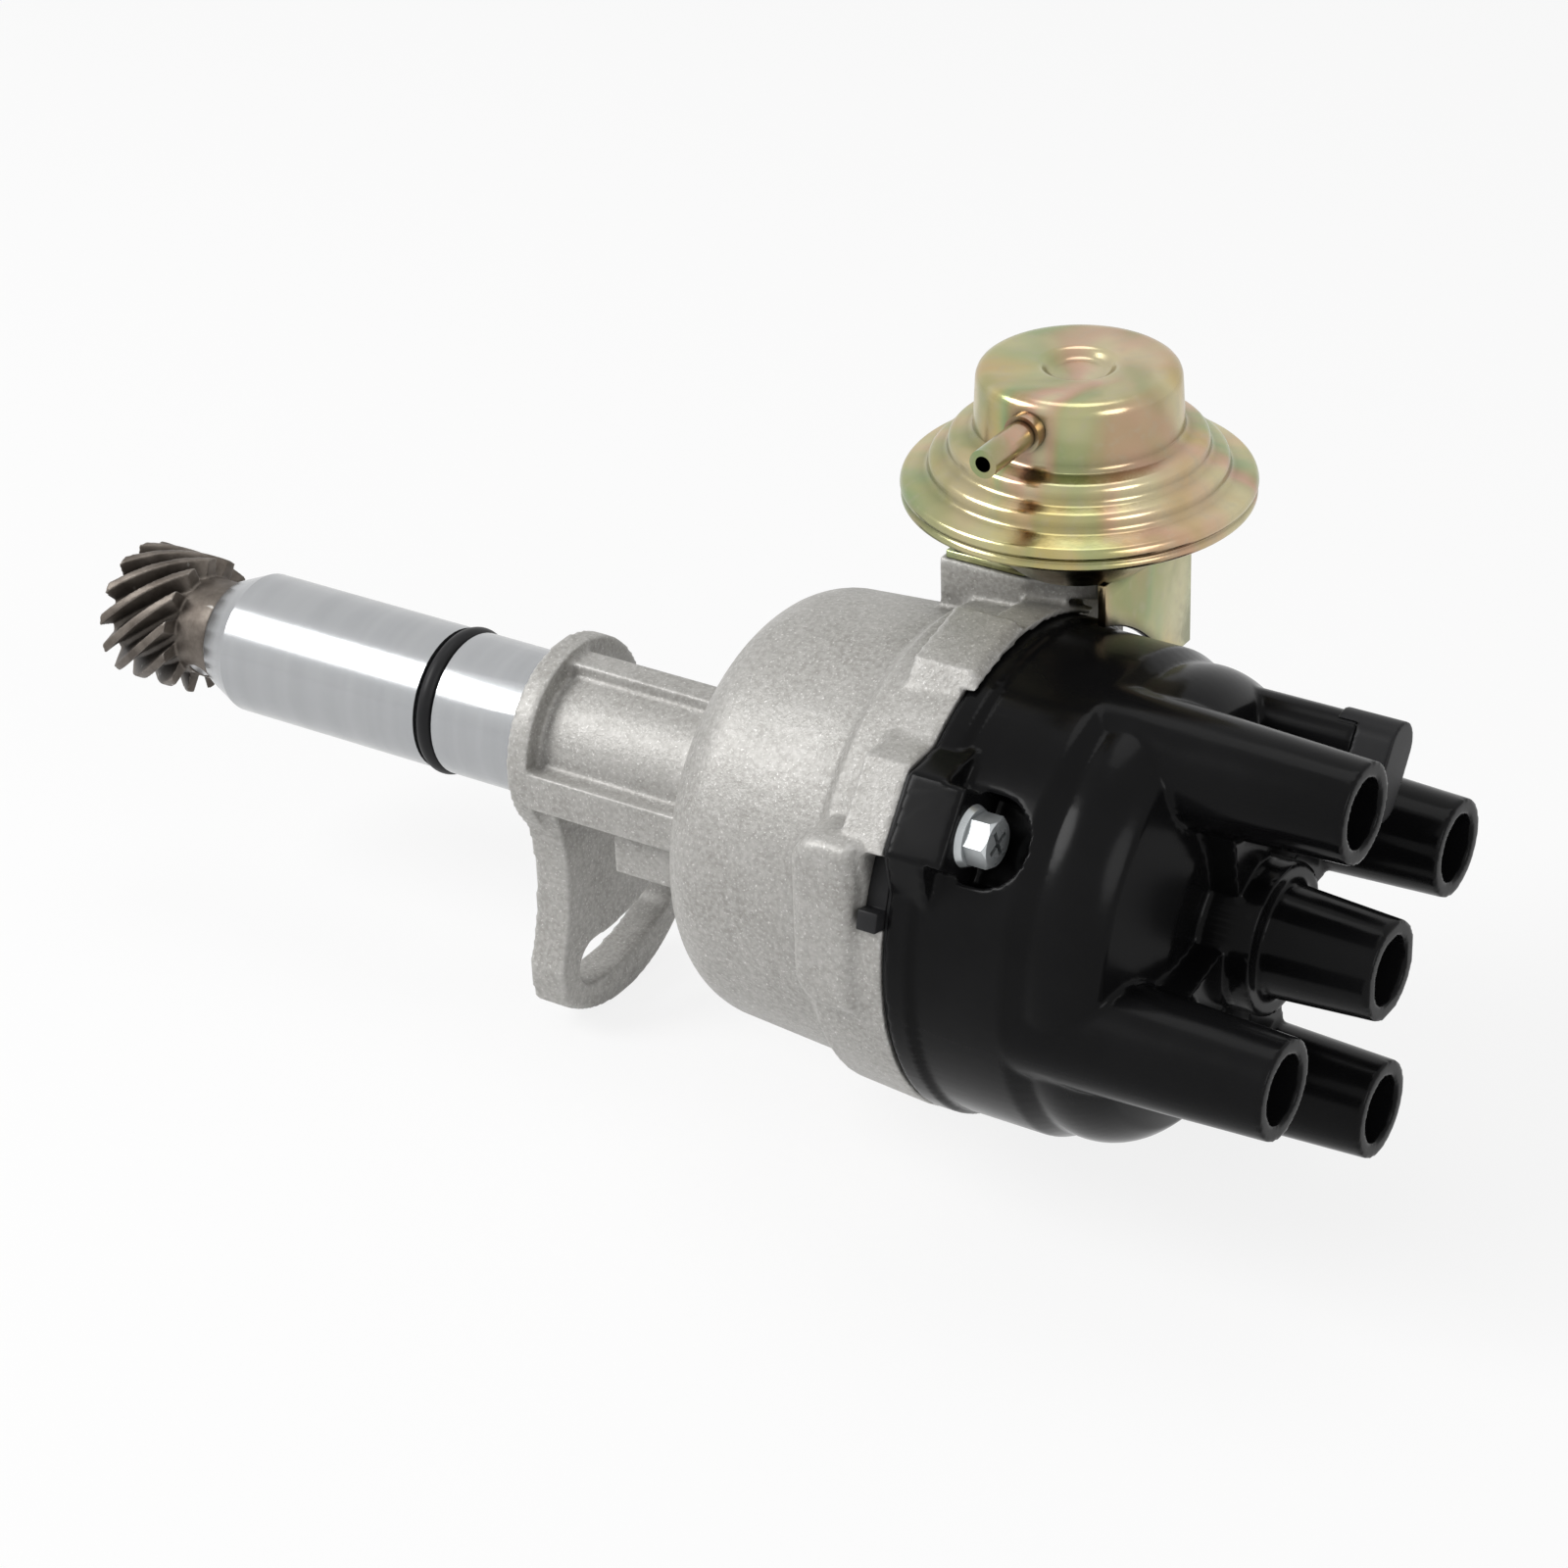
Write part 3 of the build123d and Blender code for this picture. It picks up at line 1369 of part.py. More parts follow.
# Vacuum canister: two pressed shells about a vertical axis
canister_axis = Axis((canister_x, canister_y, 0), (0, 0, 1))
canister_plane = Plane(origin=(canister_x, canister_y, 0), x_dir=(1, 0, 0), z_dir=(0, -1, 0))
flange_top = canister_flange_z
flange_low = flange_top - canister_sheet
diaphragm_z = flange_low - diaphragm_thickness
lower_flange_z = diaphragm_z - canister_sheet
crimp_z = lower_flange_z - canister_sheet * 0.8
clamp_radius = canister_radius - canister_sheet
crimp_radius = canister_radius - canister_roll - 1.5


def upper_outline(inset):
    # half outline of the upper shell from the middle outward, drawn in by the sheet
    top = canister_top - inset
    drum_foot = drum_radius + drum_flare - inset
    two = ring_two_radius - inset
    one = ring_one_radius - inset
    base = flange_top - inset
    Spline(
        (0, top - dimple_depth),
        (dimple_radius * 0.6, top - dimple_depth * 0.85),
        (dimple_radius, top - dimple_depth * 0.2),
        (dimple_radius + 1.4, top),
        tangents=((1, 0), (1, 0)),
    )
    Line((dimple_radius + 1.4, top), (drum_radius - drum_corner, top))
    RadiusArc(
        (drum_radius - drum_corner, top),
        (drum_radius - inset, top - drum_corner + inset),
        drum_corner - inset,
    )
    Line(
        (drum_radius - inset, top - drum_corner + inset),
        (drum_foot, base + drum_base_height),
    )
    Spline(
        (drum_foot, base + drum_base_height),
        (drum_foot + 1.9, base + ring_two_height + 0.4),
        (two, base + (ring_two_height + ring_two_foot) / 2 + 0.8),
        (two + 1.2, base + ring_two_foot),
        (one, base + (ring_one_height + ring_one_foot) / 2 + 0.5),
        (one + 1.2, base + ring_one_foot),
        (canister_radius - canister_roll, base),
        tangents=((0, -1), (1, -0.25)),
    )


with BuildPart() as upper_shell:
    with BuildSketch(canister_plane):
        with BuildLine():
            upper_outline(0)
            rim_from = (canister_radius - canister_roll, flange_top)
            ThreePointArc(
                rim_from,
                (canister_radius - canister_roll * 0.3, flange_top - canister_roll * 0.3),
                (canister_radius, flange_top - canister_roll),
            )
            Polyline(
                (canister_radius, flange_top - canister_roll),
                (canister_radius, crimp_z),
                (0, crimp_z),
                (0, canister_top - dimple_depth),
            )
        make_face()
    revolve(axis=canister_axis)
    with BuildSketch(canister_plane):
        with BuildLine():
            upper_outline(canister_sheet)
            Polyline(
                (canister_radius - canister_roll, flange_low),
                (0, flange_low),
                (0, canister_top - canister_sheet - dimple_depth),
            )
        make_face()
    revolve(axis=canister_axis, mode=Mode.SUBTRACT)
    # room for the diaphragm and the flange of the lower shell inside the crimped edge
    with BuildSketch(Plane.XY.offset(flange_low)):
        with Locations((canister_x, canister_y)):
            Circle(clamp_radius)
    extrude(amount=lower_flange_z - flange_low, mode=Mode.SUBTRACT)
    with BuildSketch(Plane.XY.offset(lower_flange_z)):
        with Locations((canister_x, canister_y)):
            Circle(crimp_radius)
    extrude(amount=crimp_z - lower_flange_z, mode=Mode.SUBTRACT)
    # hole for the nipple, and a flat seat for its collar
    nipple_plane = Plane(origin=(canister_x, canister_y, nipple_z), z_dir=(0, -1, 0))
    with BuildSketch(nipple_plane):
        Circle(nipple_radius)
    extrude(amount=drum_radius + 1, mode=Mode.SUBTRACT)
    with BuildSketch(nipple_plane.offset(drum_radius)):
        Circle(nipple_collar_radius)
    extrude(amount=drum_flare + free_gap, mode=Mode.SUBTRACT)
save(upper_shell.part, "vacuum_upper_shell")

# Diaphragm clamped between the flanges, and the cup that it lifts
with BuildPart() as diaphragm:
    with BuildSketch(Plane.XY.offset(diaphragm_z)):
        with Locations((canister_x, canister_y)):
            Circle(clamp_radius)
            Circle(3.2, mode=Mode.SUBTRACT)
    extrude(amount=diaphragm_thickness)
save(diaphragm.part, "diaphragm")

with BuildPart() as cup:
    with BuildSketch(Plane.XY.offset(flange_low)):
        with Locations((canister_x, canister_y)):
            Circle(cup_radius)
    extrude(amount=cup_thickness)
    with BuildSketch(Plane.XY.offset(flange_low + cup_thickness)):
        with Locations((canister_x, canister_y)):
            Circle(vacuum_spring_radius - vacuum_spring_wire - 0.4)
    extrude(amount=2.0)
save(cup.part, "diaphragm_cup")

with BuildPart() as vacuum_spring:
    coil_z = flange_low + cup_thickness + vacuum_spring_wire / 2
    coil_top = canister_top - canister_sheet - dimple_depth - vacuum_spring_wire / 2
    with BuildLine():
        vacuum_coil = Helix(
            pitch=(coil_top - coil_z) / vacuum_spring_turns,
            height=coil_top - coil_z,
            radius=vacuum_spring_radius - vacuum_spring_wire / 2,
            center=(canister_x, canister_y, coil_z),
        )
    with BuildSketch(Plane(origin=vacuum_coil @ 0, z_dir=vacuum_coil % 0)):
        Circle(vacuum_spring_wire / 2)
    sweep(is_frenet=True)
save(vacuum_spring.part, "vacuum_spring")

bracket_z = pad_top
shell_floor_z = bracket_z + bracket_sheet


with BuildPart() as lower_shell:
    with BuildSketch(canister_plane):
        with BuildLine():
            Polyline(
                (clamp_radius, diaphragm_z),
                (clamp_radius, lower_flange_z),
                (lower_rim_radius, lower_flange_z),
                (lower_dish_radius, shell_floor_z),
                (rod_width / 2 + 1.0, shell_floor_z),
                (rod_width / 2 + 1.0, shell_floor_z + canister_sheet),
                (lower_dish_radius - 0.6, shell_floor_z + canister_sheet),
                (lower_rim_radius - 1.4, diaphragm_z),
                close=True,
            )
        make_face()
    revolve(axis=canister_axis)
save(lower_shell.part, "vacuum_lower_shell")

# Rod: a strip bent so that it reaches the pin of the pickup plate
rod_low = link_pin_z
with BuildPart() as rod:
    with BuildSketch(Plane.XZ.offset(-canister_y - rod_width / 2)):
        with BuildLine():
            FilletPolyline(
                (canister_x, flange_low),
                (canister_x, rod_shelf_z),
                (rod_eye_x, rod_shelf_z),
                (rod_eye_x, rod_low),
                radius=rod_bend,
            )
        trace(line_width=rod_thickness)
    extrude(amount=rod_width)
    with BuildSketch(Plane.YZ.offset(rod_eye_x - rod_thickness / 2)):
        with Locations((canister_y, link_pin_z)):
            Circle(link_pin_radius + link_pin_clearance + 2.2)
    extrude(amount=rod_thickness)
    with BuildSketch(Plane.YZ.offset(rod_eye_x - rod_thickness / 2)):
        with Locations((canister_y, link_pin_z)):
            Circle(link_pin_radius + link_pin_clearance)
    extrude(amount=rod_thickness, mode=Mode.SUBTRACT)
save(rod.part, "vacuum_rod")

clip_x = rod_eye_x + rod_thickness / 2 + side_gap
with BuildPart() as rod_clip:
    with BuildSketch(Plane.YZ.offset(clip_x)):
        with Locations((link_pin_y, link_pin_z)):
            Circle(link_pin_radius + 2.0)
            Circle(link_pin_radius, mode=Mode.SUBTRACT)
    extrude(amount=0.7)
save(rod_clip.part, "rod_clip")

# Bracket: a plate on the pad and an apron folded down in front of the rim
bracket_back = pad_back + 1.0
with BuildPart() as bracket:
    with BuildSketch(Plane.XY.offset(bracket_z)):
        with BuildLine():
            Polyline(
                (bracket_back, pad_near + bracket_inset),
                (pad_corner, pad_near + bracket_inset),
                (pad_front, pad_near_front + bracket_inset),
                (bracket_apron_x - bracket_sheet, bracket_apron_near),
                (bracket_apron_x, bracket_apron_near),
                (bracket_apron_x, bracket_apron_far),
                (bracket_back, bracket_apron_far),
                close=True,
            )
        make_face()
        with Locations((canister_x, canister_y)):
            Circle(rod_width / 2 + 1.0, mode=Mode.SUBTRACT)
        with Locations(*bracket_screw_places):
            Circle(bracket_screw_radius, mode=Mode.SUBTRACT)
    extrude(amount=bracket_sheet)

    # apron, its lower edge clear of the cap all along
    with BuildSketch(Plane.YZ.offset(bracket_apron_x - bracket_sheet)):
        with BuildLine():
            Polyline(
                (bracket_apron_near, bracket_z + bracket_sheet),
                (bracket_apron_far, bracket_z + bracket_sheet),
                (bracket_apron_far, bracket_apron_low),
                (bracket_apron_near, bracket_apron_low),
                close=True,
            )
        make_face()
        Circle(cap_wall_radius + bracket_clear_gap, mode=Mode.SUBTRACT)
    extrude(amount=bracket_sheet)

    # return flange on the far side
    with BuildSketch(Plane.XZ.offset(-bracket_apron_far)):
        with BuildLine():
            Polyline(
                (bracket_apron_x, bracket_z),
                (bracket_apron_x, bracket_apron_low),
                (bracket_apron_x - bracket_return, bracket_apron_low + bracket_return / 2),
                (pad_back + bracket_return, bracket_z),
                close=True,
            )
        make_face()
    extrude(amount=bracket_sheet)
save(bracket.part, "vacuum_bracket")

with BuildPart() as bracket_screws:
    with BuildSketch(Plane.XY.offset(shell_floor_z)):
        with Locations(*bracket_screw_places):
            Circle(bracket_screw_head)
    extrude(amount=bracket_screw_head_height)
    with BuildSketch(Plane.XY.offset(shell_floor_z)):
        with Locations(*bracket_screw_places):
            Circle(bracket_screw_radius)
    extrude(amount=-(bracket_sheet + bracket_screw_length))
save(bracket_screws.part, "bracket_screws")

# Nipple for the vacuum hose, with its collar against the drum
with BuildPart() as nipple:
    with BuildSketch(nipple_plane.offset(drum_radius - canister_sheet - 1.0)):
        Circle(nipple_radius)
    extrude(amount=nipple_length + canister_sheet + 1.0)
    with BuildSketch(nipple_plane.offset(drum_radius)):
        Circle(nipple_collar_radius)
    extrude(amount=nipple_collar_length)
    with BuildSketch(nipple_plane):
        Circle(nipple_bore)
    extrude(amount=drum_radius + nipple_length, mode=Mode.SUBTRACT)
save(nipple.part, "hose_nipple")
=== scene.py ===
import json
import math
import bpy
import bmesh
from mathutils import Matrix, Vector


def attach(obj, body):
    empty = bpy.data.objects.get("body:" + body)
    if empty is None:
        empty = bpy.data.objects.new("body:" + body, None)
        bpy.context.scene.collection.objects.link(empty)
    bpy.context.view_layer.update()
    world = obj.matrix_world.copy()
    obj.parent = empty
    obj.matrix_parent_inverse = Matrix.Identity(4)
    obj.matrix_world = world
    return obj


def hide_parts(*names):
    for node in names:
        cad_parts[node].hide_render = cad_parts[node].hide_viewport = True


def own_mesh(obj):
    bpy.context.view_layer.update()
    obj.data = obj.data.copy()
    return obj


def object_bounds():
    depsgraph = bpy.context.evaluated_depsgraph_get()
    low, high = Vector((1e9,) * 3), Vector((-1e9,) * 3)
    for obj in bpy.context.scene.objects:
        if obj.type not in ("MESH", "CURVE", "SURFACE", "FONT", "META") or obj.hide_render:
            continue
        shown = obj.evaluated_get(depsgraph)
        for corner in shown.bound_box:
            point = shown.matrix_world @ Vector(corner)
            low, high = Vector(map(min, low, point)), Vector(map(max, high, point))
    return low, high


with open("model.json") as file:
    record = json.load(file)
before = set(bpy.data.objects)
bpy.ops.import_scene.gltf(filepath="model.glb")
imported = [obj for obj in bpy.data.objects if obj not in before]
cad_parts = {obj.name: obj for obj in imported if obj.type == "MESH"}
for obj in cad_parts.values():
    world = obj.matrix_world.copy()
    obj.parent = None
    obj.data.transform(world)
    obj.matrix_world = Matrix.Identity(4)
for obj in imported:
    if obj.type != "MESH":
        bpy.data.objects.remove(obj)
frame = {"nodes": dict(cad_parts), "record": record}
cadLow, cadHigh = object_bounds()
nodes = frame["nodes"]
mm = 0.001
print("frame loaded:", len(nodes), "nodes")


# camera as the photograph was taken
cameraSet = {
    "target": (47.43 * mm, 0.0, 2.063 * mm),
    "azimuth": 33.523,
    "elevation": 30.132,
    "roll": -2.185,
    "distance": 766.37 * mm,
    "lens": 98.917,
    "sensor": 36,
    "clip": (0.01, 20),
}


def placeCamera(s):
    a = math.radians(s["azimuth"])
    e = math.radians(s["elevation"])
    r = math.radians(s["roll"])
    back = Vector((math.sin(a) * math.cos(e), -math.cos(a) * math.cos(e), math.sin(e)))
    right = Vector((math.cos(a), math.sin(a), 0))
    up = back.cross(right)
    rolledRight = math.cos(r) * right + math.sin(r) * up
    rolledUp = -math.sin(r) * right + math.cos(r) * up
    data = bpy.data.cameras.new("camera")
    data.lens = s["lens"]
    data.sensor_width = s["sensor"]
    data.clip_start, data.clip_end = s["clip"]
    cam = bpy.data.objects.new("camera", data)
    turn = Matrix((rolledRight, rolledUp, back)).transposed().to_4x4()
    cam.matrix_world = Matrix.Translation(Vector(s["target"]) + back * s["distance"]) @ turn
    bpy.context.scene.collection.objects.link(cam)
    bpy.context.scene.camera = cam


placeCamera(cameraSet)


# lights, floor and white surroundings
lightSet = {
    "key": {"at": (-0.68, -0.60, 0.80), "size": 0.62, "power": 10.0},
    "top": {"at": (-0.05, 0.25, 1.10), "size": 0.6, "power": 1.6},
    "side": {"at": (0.95, -0.35, 0.45), "size": 0.5, "power": 2.2},
    "floorSize": 4.0,
    "floorBelow": 0.6 * mm,
    "floorColor": (0.93, 0.93, 0.93, 1),
    "floorGlow": 0.84,
    "skyHigh": 0.30,
    "skyLow": 0.36,
    "skyFrom": -0.05,
    "skyTo": 0.85,
}
white = (1, 1, 1, 1)


def addAreaLight(name, at, size, power):
    data = bpy.data.lights.new(name, "AREA")
    data.shape = "DISK"
    data.size = size
    data.energy = power
    lamp = bpy.data.objects.new(name, data)
    lamp.location = at
    lamp.rotation_mode = "QUATERNION"
    aim = Vector(cameraSet["target"]) - Vector(at)
    lamp.rotation_quaternion = aim.to_track_quat("-Z", "Y")
    bpy.context.scene.collection.objects.link(lamp)


def shownRays(tree):
    # 1 for rays from the camera, in mirrors and through glass
    path = tree.nodes.new("ShaderNodeLightPath")
    first = tree.nodes.new("ShaderNodeMath")
    first.operation = "MAXIMUM"
    tree.links.new(path.outputs["Is Camera Ray"], first.inputs[0])
    tree.links.new(path.outputs["Is Glossy Ray"], first.inputs[1])
    both = tree.nodes.new("ShaderNodeMath")
    both.operation = "MAXIMUM"
    tree.links.new(first.outputs[0], both.inputs[0])
    tree.links.new(path.outputs["Is Transmission Ray"], both.inputs[1])
    return both.outputs[0]


def joinShown(tree, share, plain, shown, out):
    # the shown shader for that share of the rays, the plain one for the rest
    mix = tree.nodes.new("ShaderNodeMixShader")
    tree.links.new(share, mix.inputs["Fac"])
    tree.links.new(plain.outputs[0], mix.inputs[1])
    tree.links.new(shown.outputs[0], mix.inputs[2])
    tree.links.new(mix.outputs[0], out.inputs["Surface"])


def buildSky(s):
    # white where it is seen, and a dimmer fill, weaker overhead, where it only lights
    world = bpy.data.worlds.new("surroundings")
    bpy.context.scene.world = world
    world.use_nodes = True
    tree = world.node_tree
    tree.nodes.clear()
    coords = tree.nodes.new("ShaderNodeTexCoord")
    split = tree.nodes.new("ShaderNodeSeparateXYZ")
    tree.links.new(coords.outputs["Generated"], split.inputs[0])
    rise = tree.nodes.new("ShaderNodeMapRange")
    rise.interpolation_type = "SMOOTHSTEP"
    rise.inputs["From Min"].default_value = s["skyFrom"]
    rise.inputs["From Max"].default_value = s["skyTo"]
    rise.inputs["To Min"].default_value = s["skyLow"]
    rise.inputs["To Max"].default_value = s["skyHigh"]
    tree.links.new(split.outputs["Z"], rise.inputs["Value"])
    fill = tree.nodes.new("ShaderNodeBackground")
    fill.inputs["Color"].default_value = white
    tree.links.new(rise.outputs[0], fill.inputs["Strength"])
    seen = tree.nodes.new("ShaderNodeBackground")
    seen.inputs["Color"].default_value = white
    seen.inputs["Strength"].default_value = 1.0
    joinShown(tree, shownRays(tree), fill, seen, tree.nodes.new("ShaderNodeOutputWorld"))


def paleFloor(s):
    mat = bpy.data.materials.new("paleFloor")
    mat.use_nodes = True
    tree = mat.node_tree
    tree.nodes.clear()
    matt = tree.nodes.new("ShaderNodeBsdfDiffuse")
    matt.inputs["Color"].default_value = s["floorColor"]
    glow = tree.nodes.new("ShaderNodeEmission")
    glow.inputs["Strength"].default_value = 1.0
    share = tree.nodes.new("ShaderNodeMath")
    share.operation = "MULTIPLY"
    share.inputs[1].default_value = s["floorGlow"]
    tree.links.new(shownRays(tree), share.inputs[0])
    joinShown(tree, share.outputs[0], matt, glow, tree.nodes.new("ShaderNodeOutputMaterial"))
    return mat


def buildFloor(s):
    half = s["floorSize"] / 2
    z = cadLow.z - s["floorBelow"]
    corners = [(-half, -half, z), (half, -half, z), (half, half, z), (-half, half, z)]
    mesh = bpy.data.meshes.new("floor")
    mesh.from_pydata(corners, [], [(0, 1, 2, 3)])
    mesh.materials.append(paleFloor(s))
    floor = bpy.data.objects.new("floor", mesh)
    bpy.context.scene.collection.objects.link(floor)


def buildStudio(s):
    for name in ("key", "top", "side"):
        addAreaLight(name, s[name]["at"], s[name]["size"], s[name]["power"])
    buildSky(s)
    buildFloor(s)
    bpy.context.scene.view_settings.view_transform = "Standard"


buildStudio(lightSet)
print("studio built")


# shader groups that several finishes share
def newGroup(name, ins, outs):
    group = bpy.data.node_groups.new(name, "ShaderNodeTree")
    for label, kind, value in ins:
        socket = group.interface.new_socket(name=label, in_out="INPUT", socket_type=kind)
        if value is not None:
            socket.default_value = value
    for label, kind in outs:
        group.interface.new_socket(name=label, in_out="OUTPUT", socket_type=kind)
    start = group.nodes.new("NodeGroupInput")
    end = group.nodes.new("NodeGroupOutput")
    return group, start, end


def addNoise(tree, vector, scale, detail=4.0, rough=0.55, twist=0.0):
    noise = tree.nodes.new("ShaderNodeTexNoise")
    noise.inputs["Detail"].default_value = detail
    noise.inputs["Roughness"].default_value = rough
    noise.inputs["Distortion"].default_value = twist
    if isinstance(scale, float):
        noise.inputs["Scale"].default_value = scale
    else:
        tree.links.new(scale, noise.inputs["Scale"])
    tree.links.new(vector, noise.inputs["Vector"])
    return noise.outputs["Fac"]


def addMath(tree, operation, a, b=None, clamp=False):
    node = tree.nodes.new("ShaderNodeMath")
    node.operation = operation
    node.use_clamp = clamp
    for socket, value in zip(node.inputs, (a, b)):
        if value is None:
            continue
        if isinstance(value, (int, float)):
            socket.default_value = value
        else:
            tree.links.new(value, socket)
    return node.outputs[0]


def addRange(tree, value, low, high, to0=0.0, to1=1.0):
    # low becomes to0 and high becomes to1, held there beyond them
    node = tree.nodes.new("ShaderNodeMapRange")
    node.inputs["From Min"].default_value = low
    node.inputs["From Max"].default_value = high
    node.inputs["To Min"].default_value = to0
    node.inputs["To Max"].default_value = to1
    tree.links.new(value, node.inputs["Value"])
    return node.outputs[0]


def addMixColor(tree, fac, a, b):
    # from a at 0 to b at 1; each is a colour or a socket
    node = tree.nodes.new("ShaderNodeMix")
    node.data_type = "RGBA"
    if isinstance(fac, (int, float)):
        node.inputs[0].default_value = fac
    else:
        tree.links.new(fac, node.inputs[0])
    for socket, value in ((node.inputs[6], a), (node.inputs[7], b)):
        if isinstance(value, tuple):
            socket.default_value = value
        else:
            tree.links.new(value, socket)
    return node.outputs[2]


def castGrainGroup():
    # sandy grain of a casting or moulding, with broad mottling and a few pale specks
    group, start, end = newGroup(
        "castGrain",
        [
            ("Vector", "NodeSocketVector", None),
            ("Grain", "NodeSocketFloat", 900.0),
            ("Mottle", "NodeSocketFloat", 45.0),
        ],
        [(label, "NodeSocketFloat") for label in ("Height", "Tone", "Speck", "Sand")],
    )
    at = start.outputs["Vector"]
    fine = addNoise(group, at, start.outputs["Grain"], detail=2.0, rough=0.6)
    coarse = addMath(group, "MULTIPLY", start.outputs["Grain"], 0.5)
    broad = addNoise(group, at, coarse, detail=3.0, rough=0.5)
    mottle = addNoise(group, at, start.outputs["Mottle"], detail=4.0, rough=0.6)
    fineShare = addMath(group, "MULTIPLY", fine, 0.6)
    broadShare = addMath(group, "MULTIPLY", broad, 0.6)
    group.links.new(addMath(group, "ADD", fineShare, broadShare), end.inputs["Height"])
    group.links.new(addRange(group, mottle, 0.32, 0.68), end.inputs["Tone"])
    group.links.new(addRange(group, fine, 0.62, 0.74), end.inputs["Speck"])
    group.links.new(addRange(group, broad, 0.35, 0.65), end.inputs["Sand"])
    return group


def turnedMarksGroup():
    # fine rings left by a lathe, round the X axis
    group, start, end = newGroup(
        "turnedMarks",
        [("Vector", "NodeSocketVector", None), ("Pitch", "NodeSocketFloat", 2600.0)],
        [(label, "NodeSocketFloat") for label in ("Height", "Streak", "Smear")],
    )
    squeeze = group.nodes.new("ShaderNodeMapping")
    squeeze.inputs["Scale"].default_value = (1.0, 0.012, 0.012)
    group.links.new(start.outputs["Vector"], squeeze.inputs["Vector"])
    rings = squeeze.outputs[0]
    lines = addNoise(group, rings, start.outputs["Pitch"], detail=2.0, rough=0.5)
    wide = addNoise(group, rings, 240.0, detail=3.0, rough=0.5)
    smear = addNoise(group, start.outputs["Vector"], 90.0, detail=4.0, rough=0.6)
    group.links.new(lines, end.inputs["Height"])
    group.links.new(addRange(group, wide, 0.35, 0.65), end.inputs["Streak"])
    group.links.new(addRange(group, smear, 0.35, 0.65), end.inputs["Smear"])
    return group


def stainGroup():
    # drifting colour of a passivated film, in patches a little longer along the canister's axis
    group, start, end = newGroup(
        "stains",
        [("Vector", "NodeSocketVector", None), ("Size", "NodeSocketFloat", 30.0)],
        [(label, "NodeSocketFloat") for label in ("Broad", "Fine", "Bands", "Film")],
    )
    at = start.outputs["Vector"]
    size = start.outputs["Size"]
    stretch = group.nodes.new("ShaderNodeMapping")
    stretch.inputs["Scale"].default_value = (1.0, 1.0, 0.45)
    stretch.inputs["Location"].default_value = (0.07, -0.02, 0.03)
    group.links.new(at, stretch.inputs["Vector"])
    drawn = stretch.outputs[0]
    broad = addNoise(group, at, size, detail=3.0, rough=0.5, twist=0.6)
    fine = addNoise(group, at, addMath(group, "MULTIPLY", size, 14.0), detail=4.0, rough=0.6)
    bands = addNoise(group, drawn, addMath(group, "MULTIPLY", size, 1.6), detail=2.0, rough=0.45, twist=1.1)
    film = addNoise(group, drawn, addMath(group, "MULTIPLY", size, 0.7), detail=2.0, rough=0.4, twist=1.6)
    group.links.new(addRange(group, broad, 0.3, 0.7), end.inputs["Broad"])
    group.links.new(addRange(group, fine, 0.35, 0.65), end.inputs["Fine"])
    group.links.new(addRange(group, bands, 0.32, 0.68), end.inputs["Bands"])
    group.links.new(addRange(group, film, 0.30, 0.70), end.inputs["Film"])
    return group


def edgeWearGroup():
    # splits a surface's pointiness into worn edges, broken up by noise, and concave hollows that take a
    # darker colour
    group, start, end = newGroup(
        "edgeWear",
        [
            ("Vector", "NodeSocketVector", None),
            ("Pointiness", "NodeSocketFloat", 0.5),
            ("Edge Start", "NodeSocketFloat", 0.52),
            ("Edge Full", "NodeSocketFloat", 0.60),
            ("Patch Size", "NodeSocketFloat", 300.0),
        ],
        [("Edge", "NodeSocketFloat"), ("Hollow", "NodeSocketFloat")],
    )
    patch = addNoise(group, start.outputs["Vector"], start.outputs["Patch Size"], detail=3.0, rough=0.6)
    soft = addRange(group, patch, 0.25, 0.6, 0.45, 1.0)
    edge = group.nodes.new("ShaderNodeMapRange")
    group.links.new(start.outputs["Edge Start"], edge.inputs["From Min"])
    group.links.new(start.outputs["Edge Full"], edge.inputs["From Max"])
    group.links.new(start.outputs["Pointiness"], edge.inputs["Value"])
    group.links.new(addMath(group, "MULTIPLY", edge.outputs[0], soft), end.inputs["Edge"])
    lowStart = addMath(group, "SUBTRACT", 1.0, start.outputs["Edge Start"])
    lowFull = addMath(group, "SUBTRACT", 1.0, start.outputs["Edge Full"])
    hollow = group.nodes.new("ShaderNodeMapRange")
    group.links.new(lowStart, hollow.inputs["From Min"])
    group.links.new(lowFull, hollow.inputs["From Max"])
    group.links.new(start.outputs["Pointiness"], hollow.inputs["Value"])
    group.links.new(hollow.outputs[0], end.inputs["Hollow"])
    return group


castGrain = castGrainGroup()
turnedMarks = turnedMarksGroup()
stains = stainGroup()
edgeWear = edgeWearGroup()


def newMaterial(name):
    mat = bpy.data.materials.new(name)
    mat.use_nodes = True
    tree = mat.node_tree
    bsdf = tree.nodes["Principled BSDF"]
    coords = tree.nodes.new("ShaderNodeTexCoord")
    return mat, tree, bsdf, coords.outputs["Object"]


def placeGroup(tree, group, vector, **values):
    node = tree.nodes.new("ShaderNodeGroup")
    node.node_tree = group
    tree.links.new(vector, node.inputs["Vector"])
    for label, value in values.items():
        node.inputs[label].default_value = value
    return node


def placeWear(tree, vector, edgeStart, edgeFull, patchSize):
    node = placeGroup(tree, edgeWear, vector)
    node.inputs["Edge Start"].default_value = edgeStart
    node.inputs["Edge Full"].default_value = edgeFull
    node.inputs["Patch Size"].default_value = patchSize
    shape = tree.nodes.new("ShaderNodeNewGeometry")
    tree.links.new(shape.outputs["Pointiness"], node.inputs["Pointiness"])
    return node


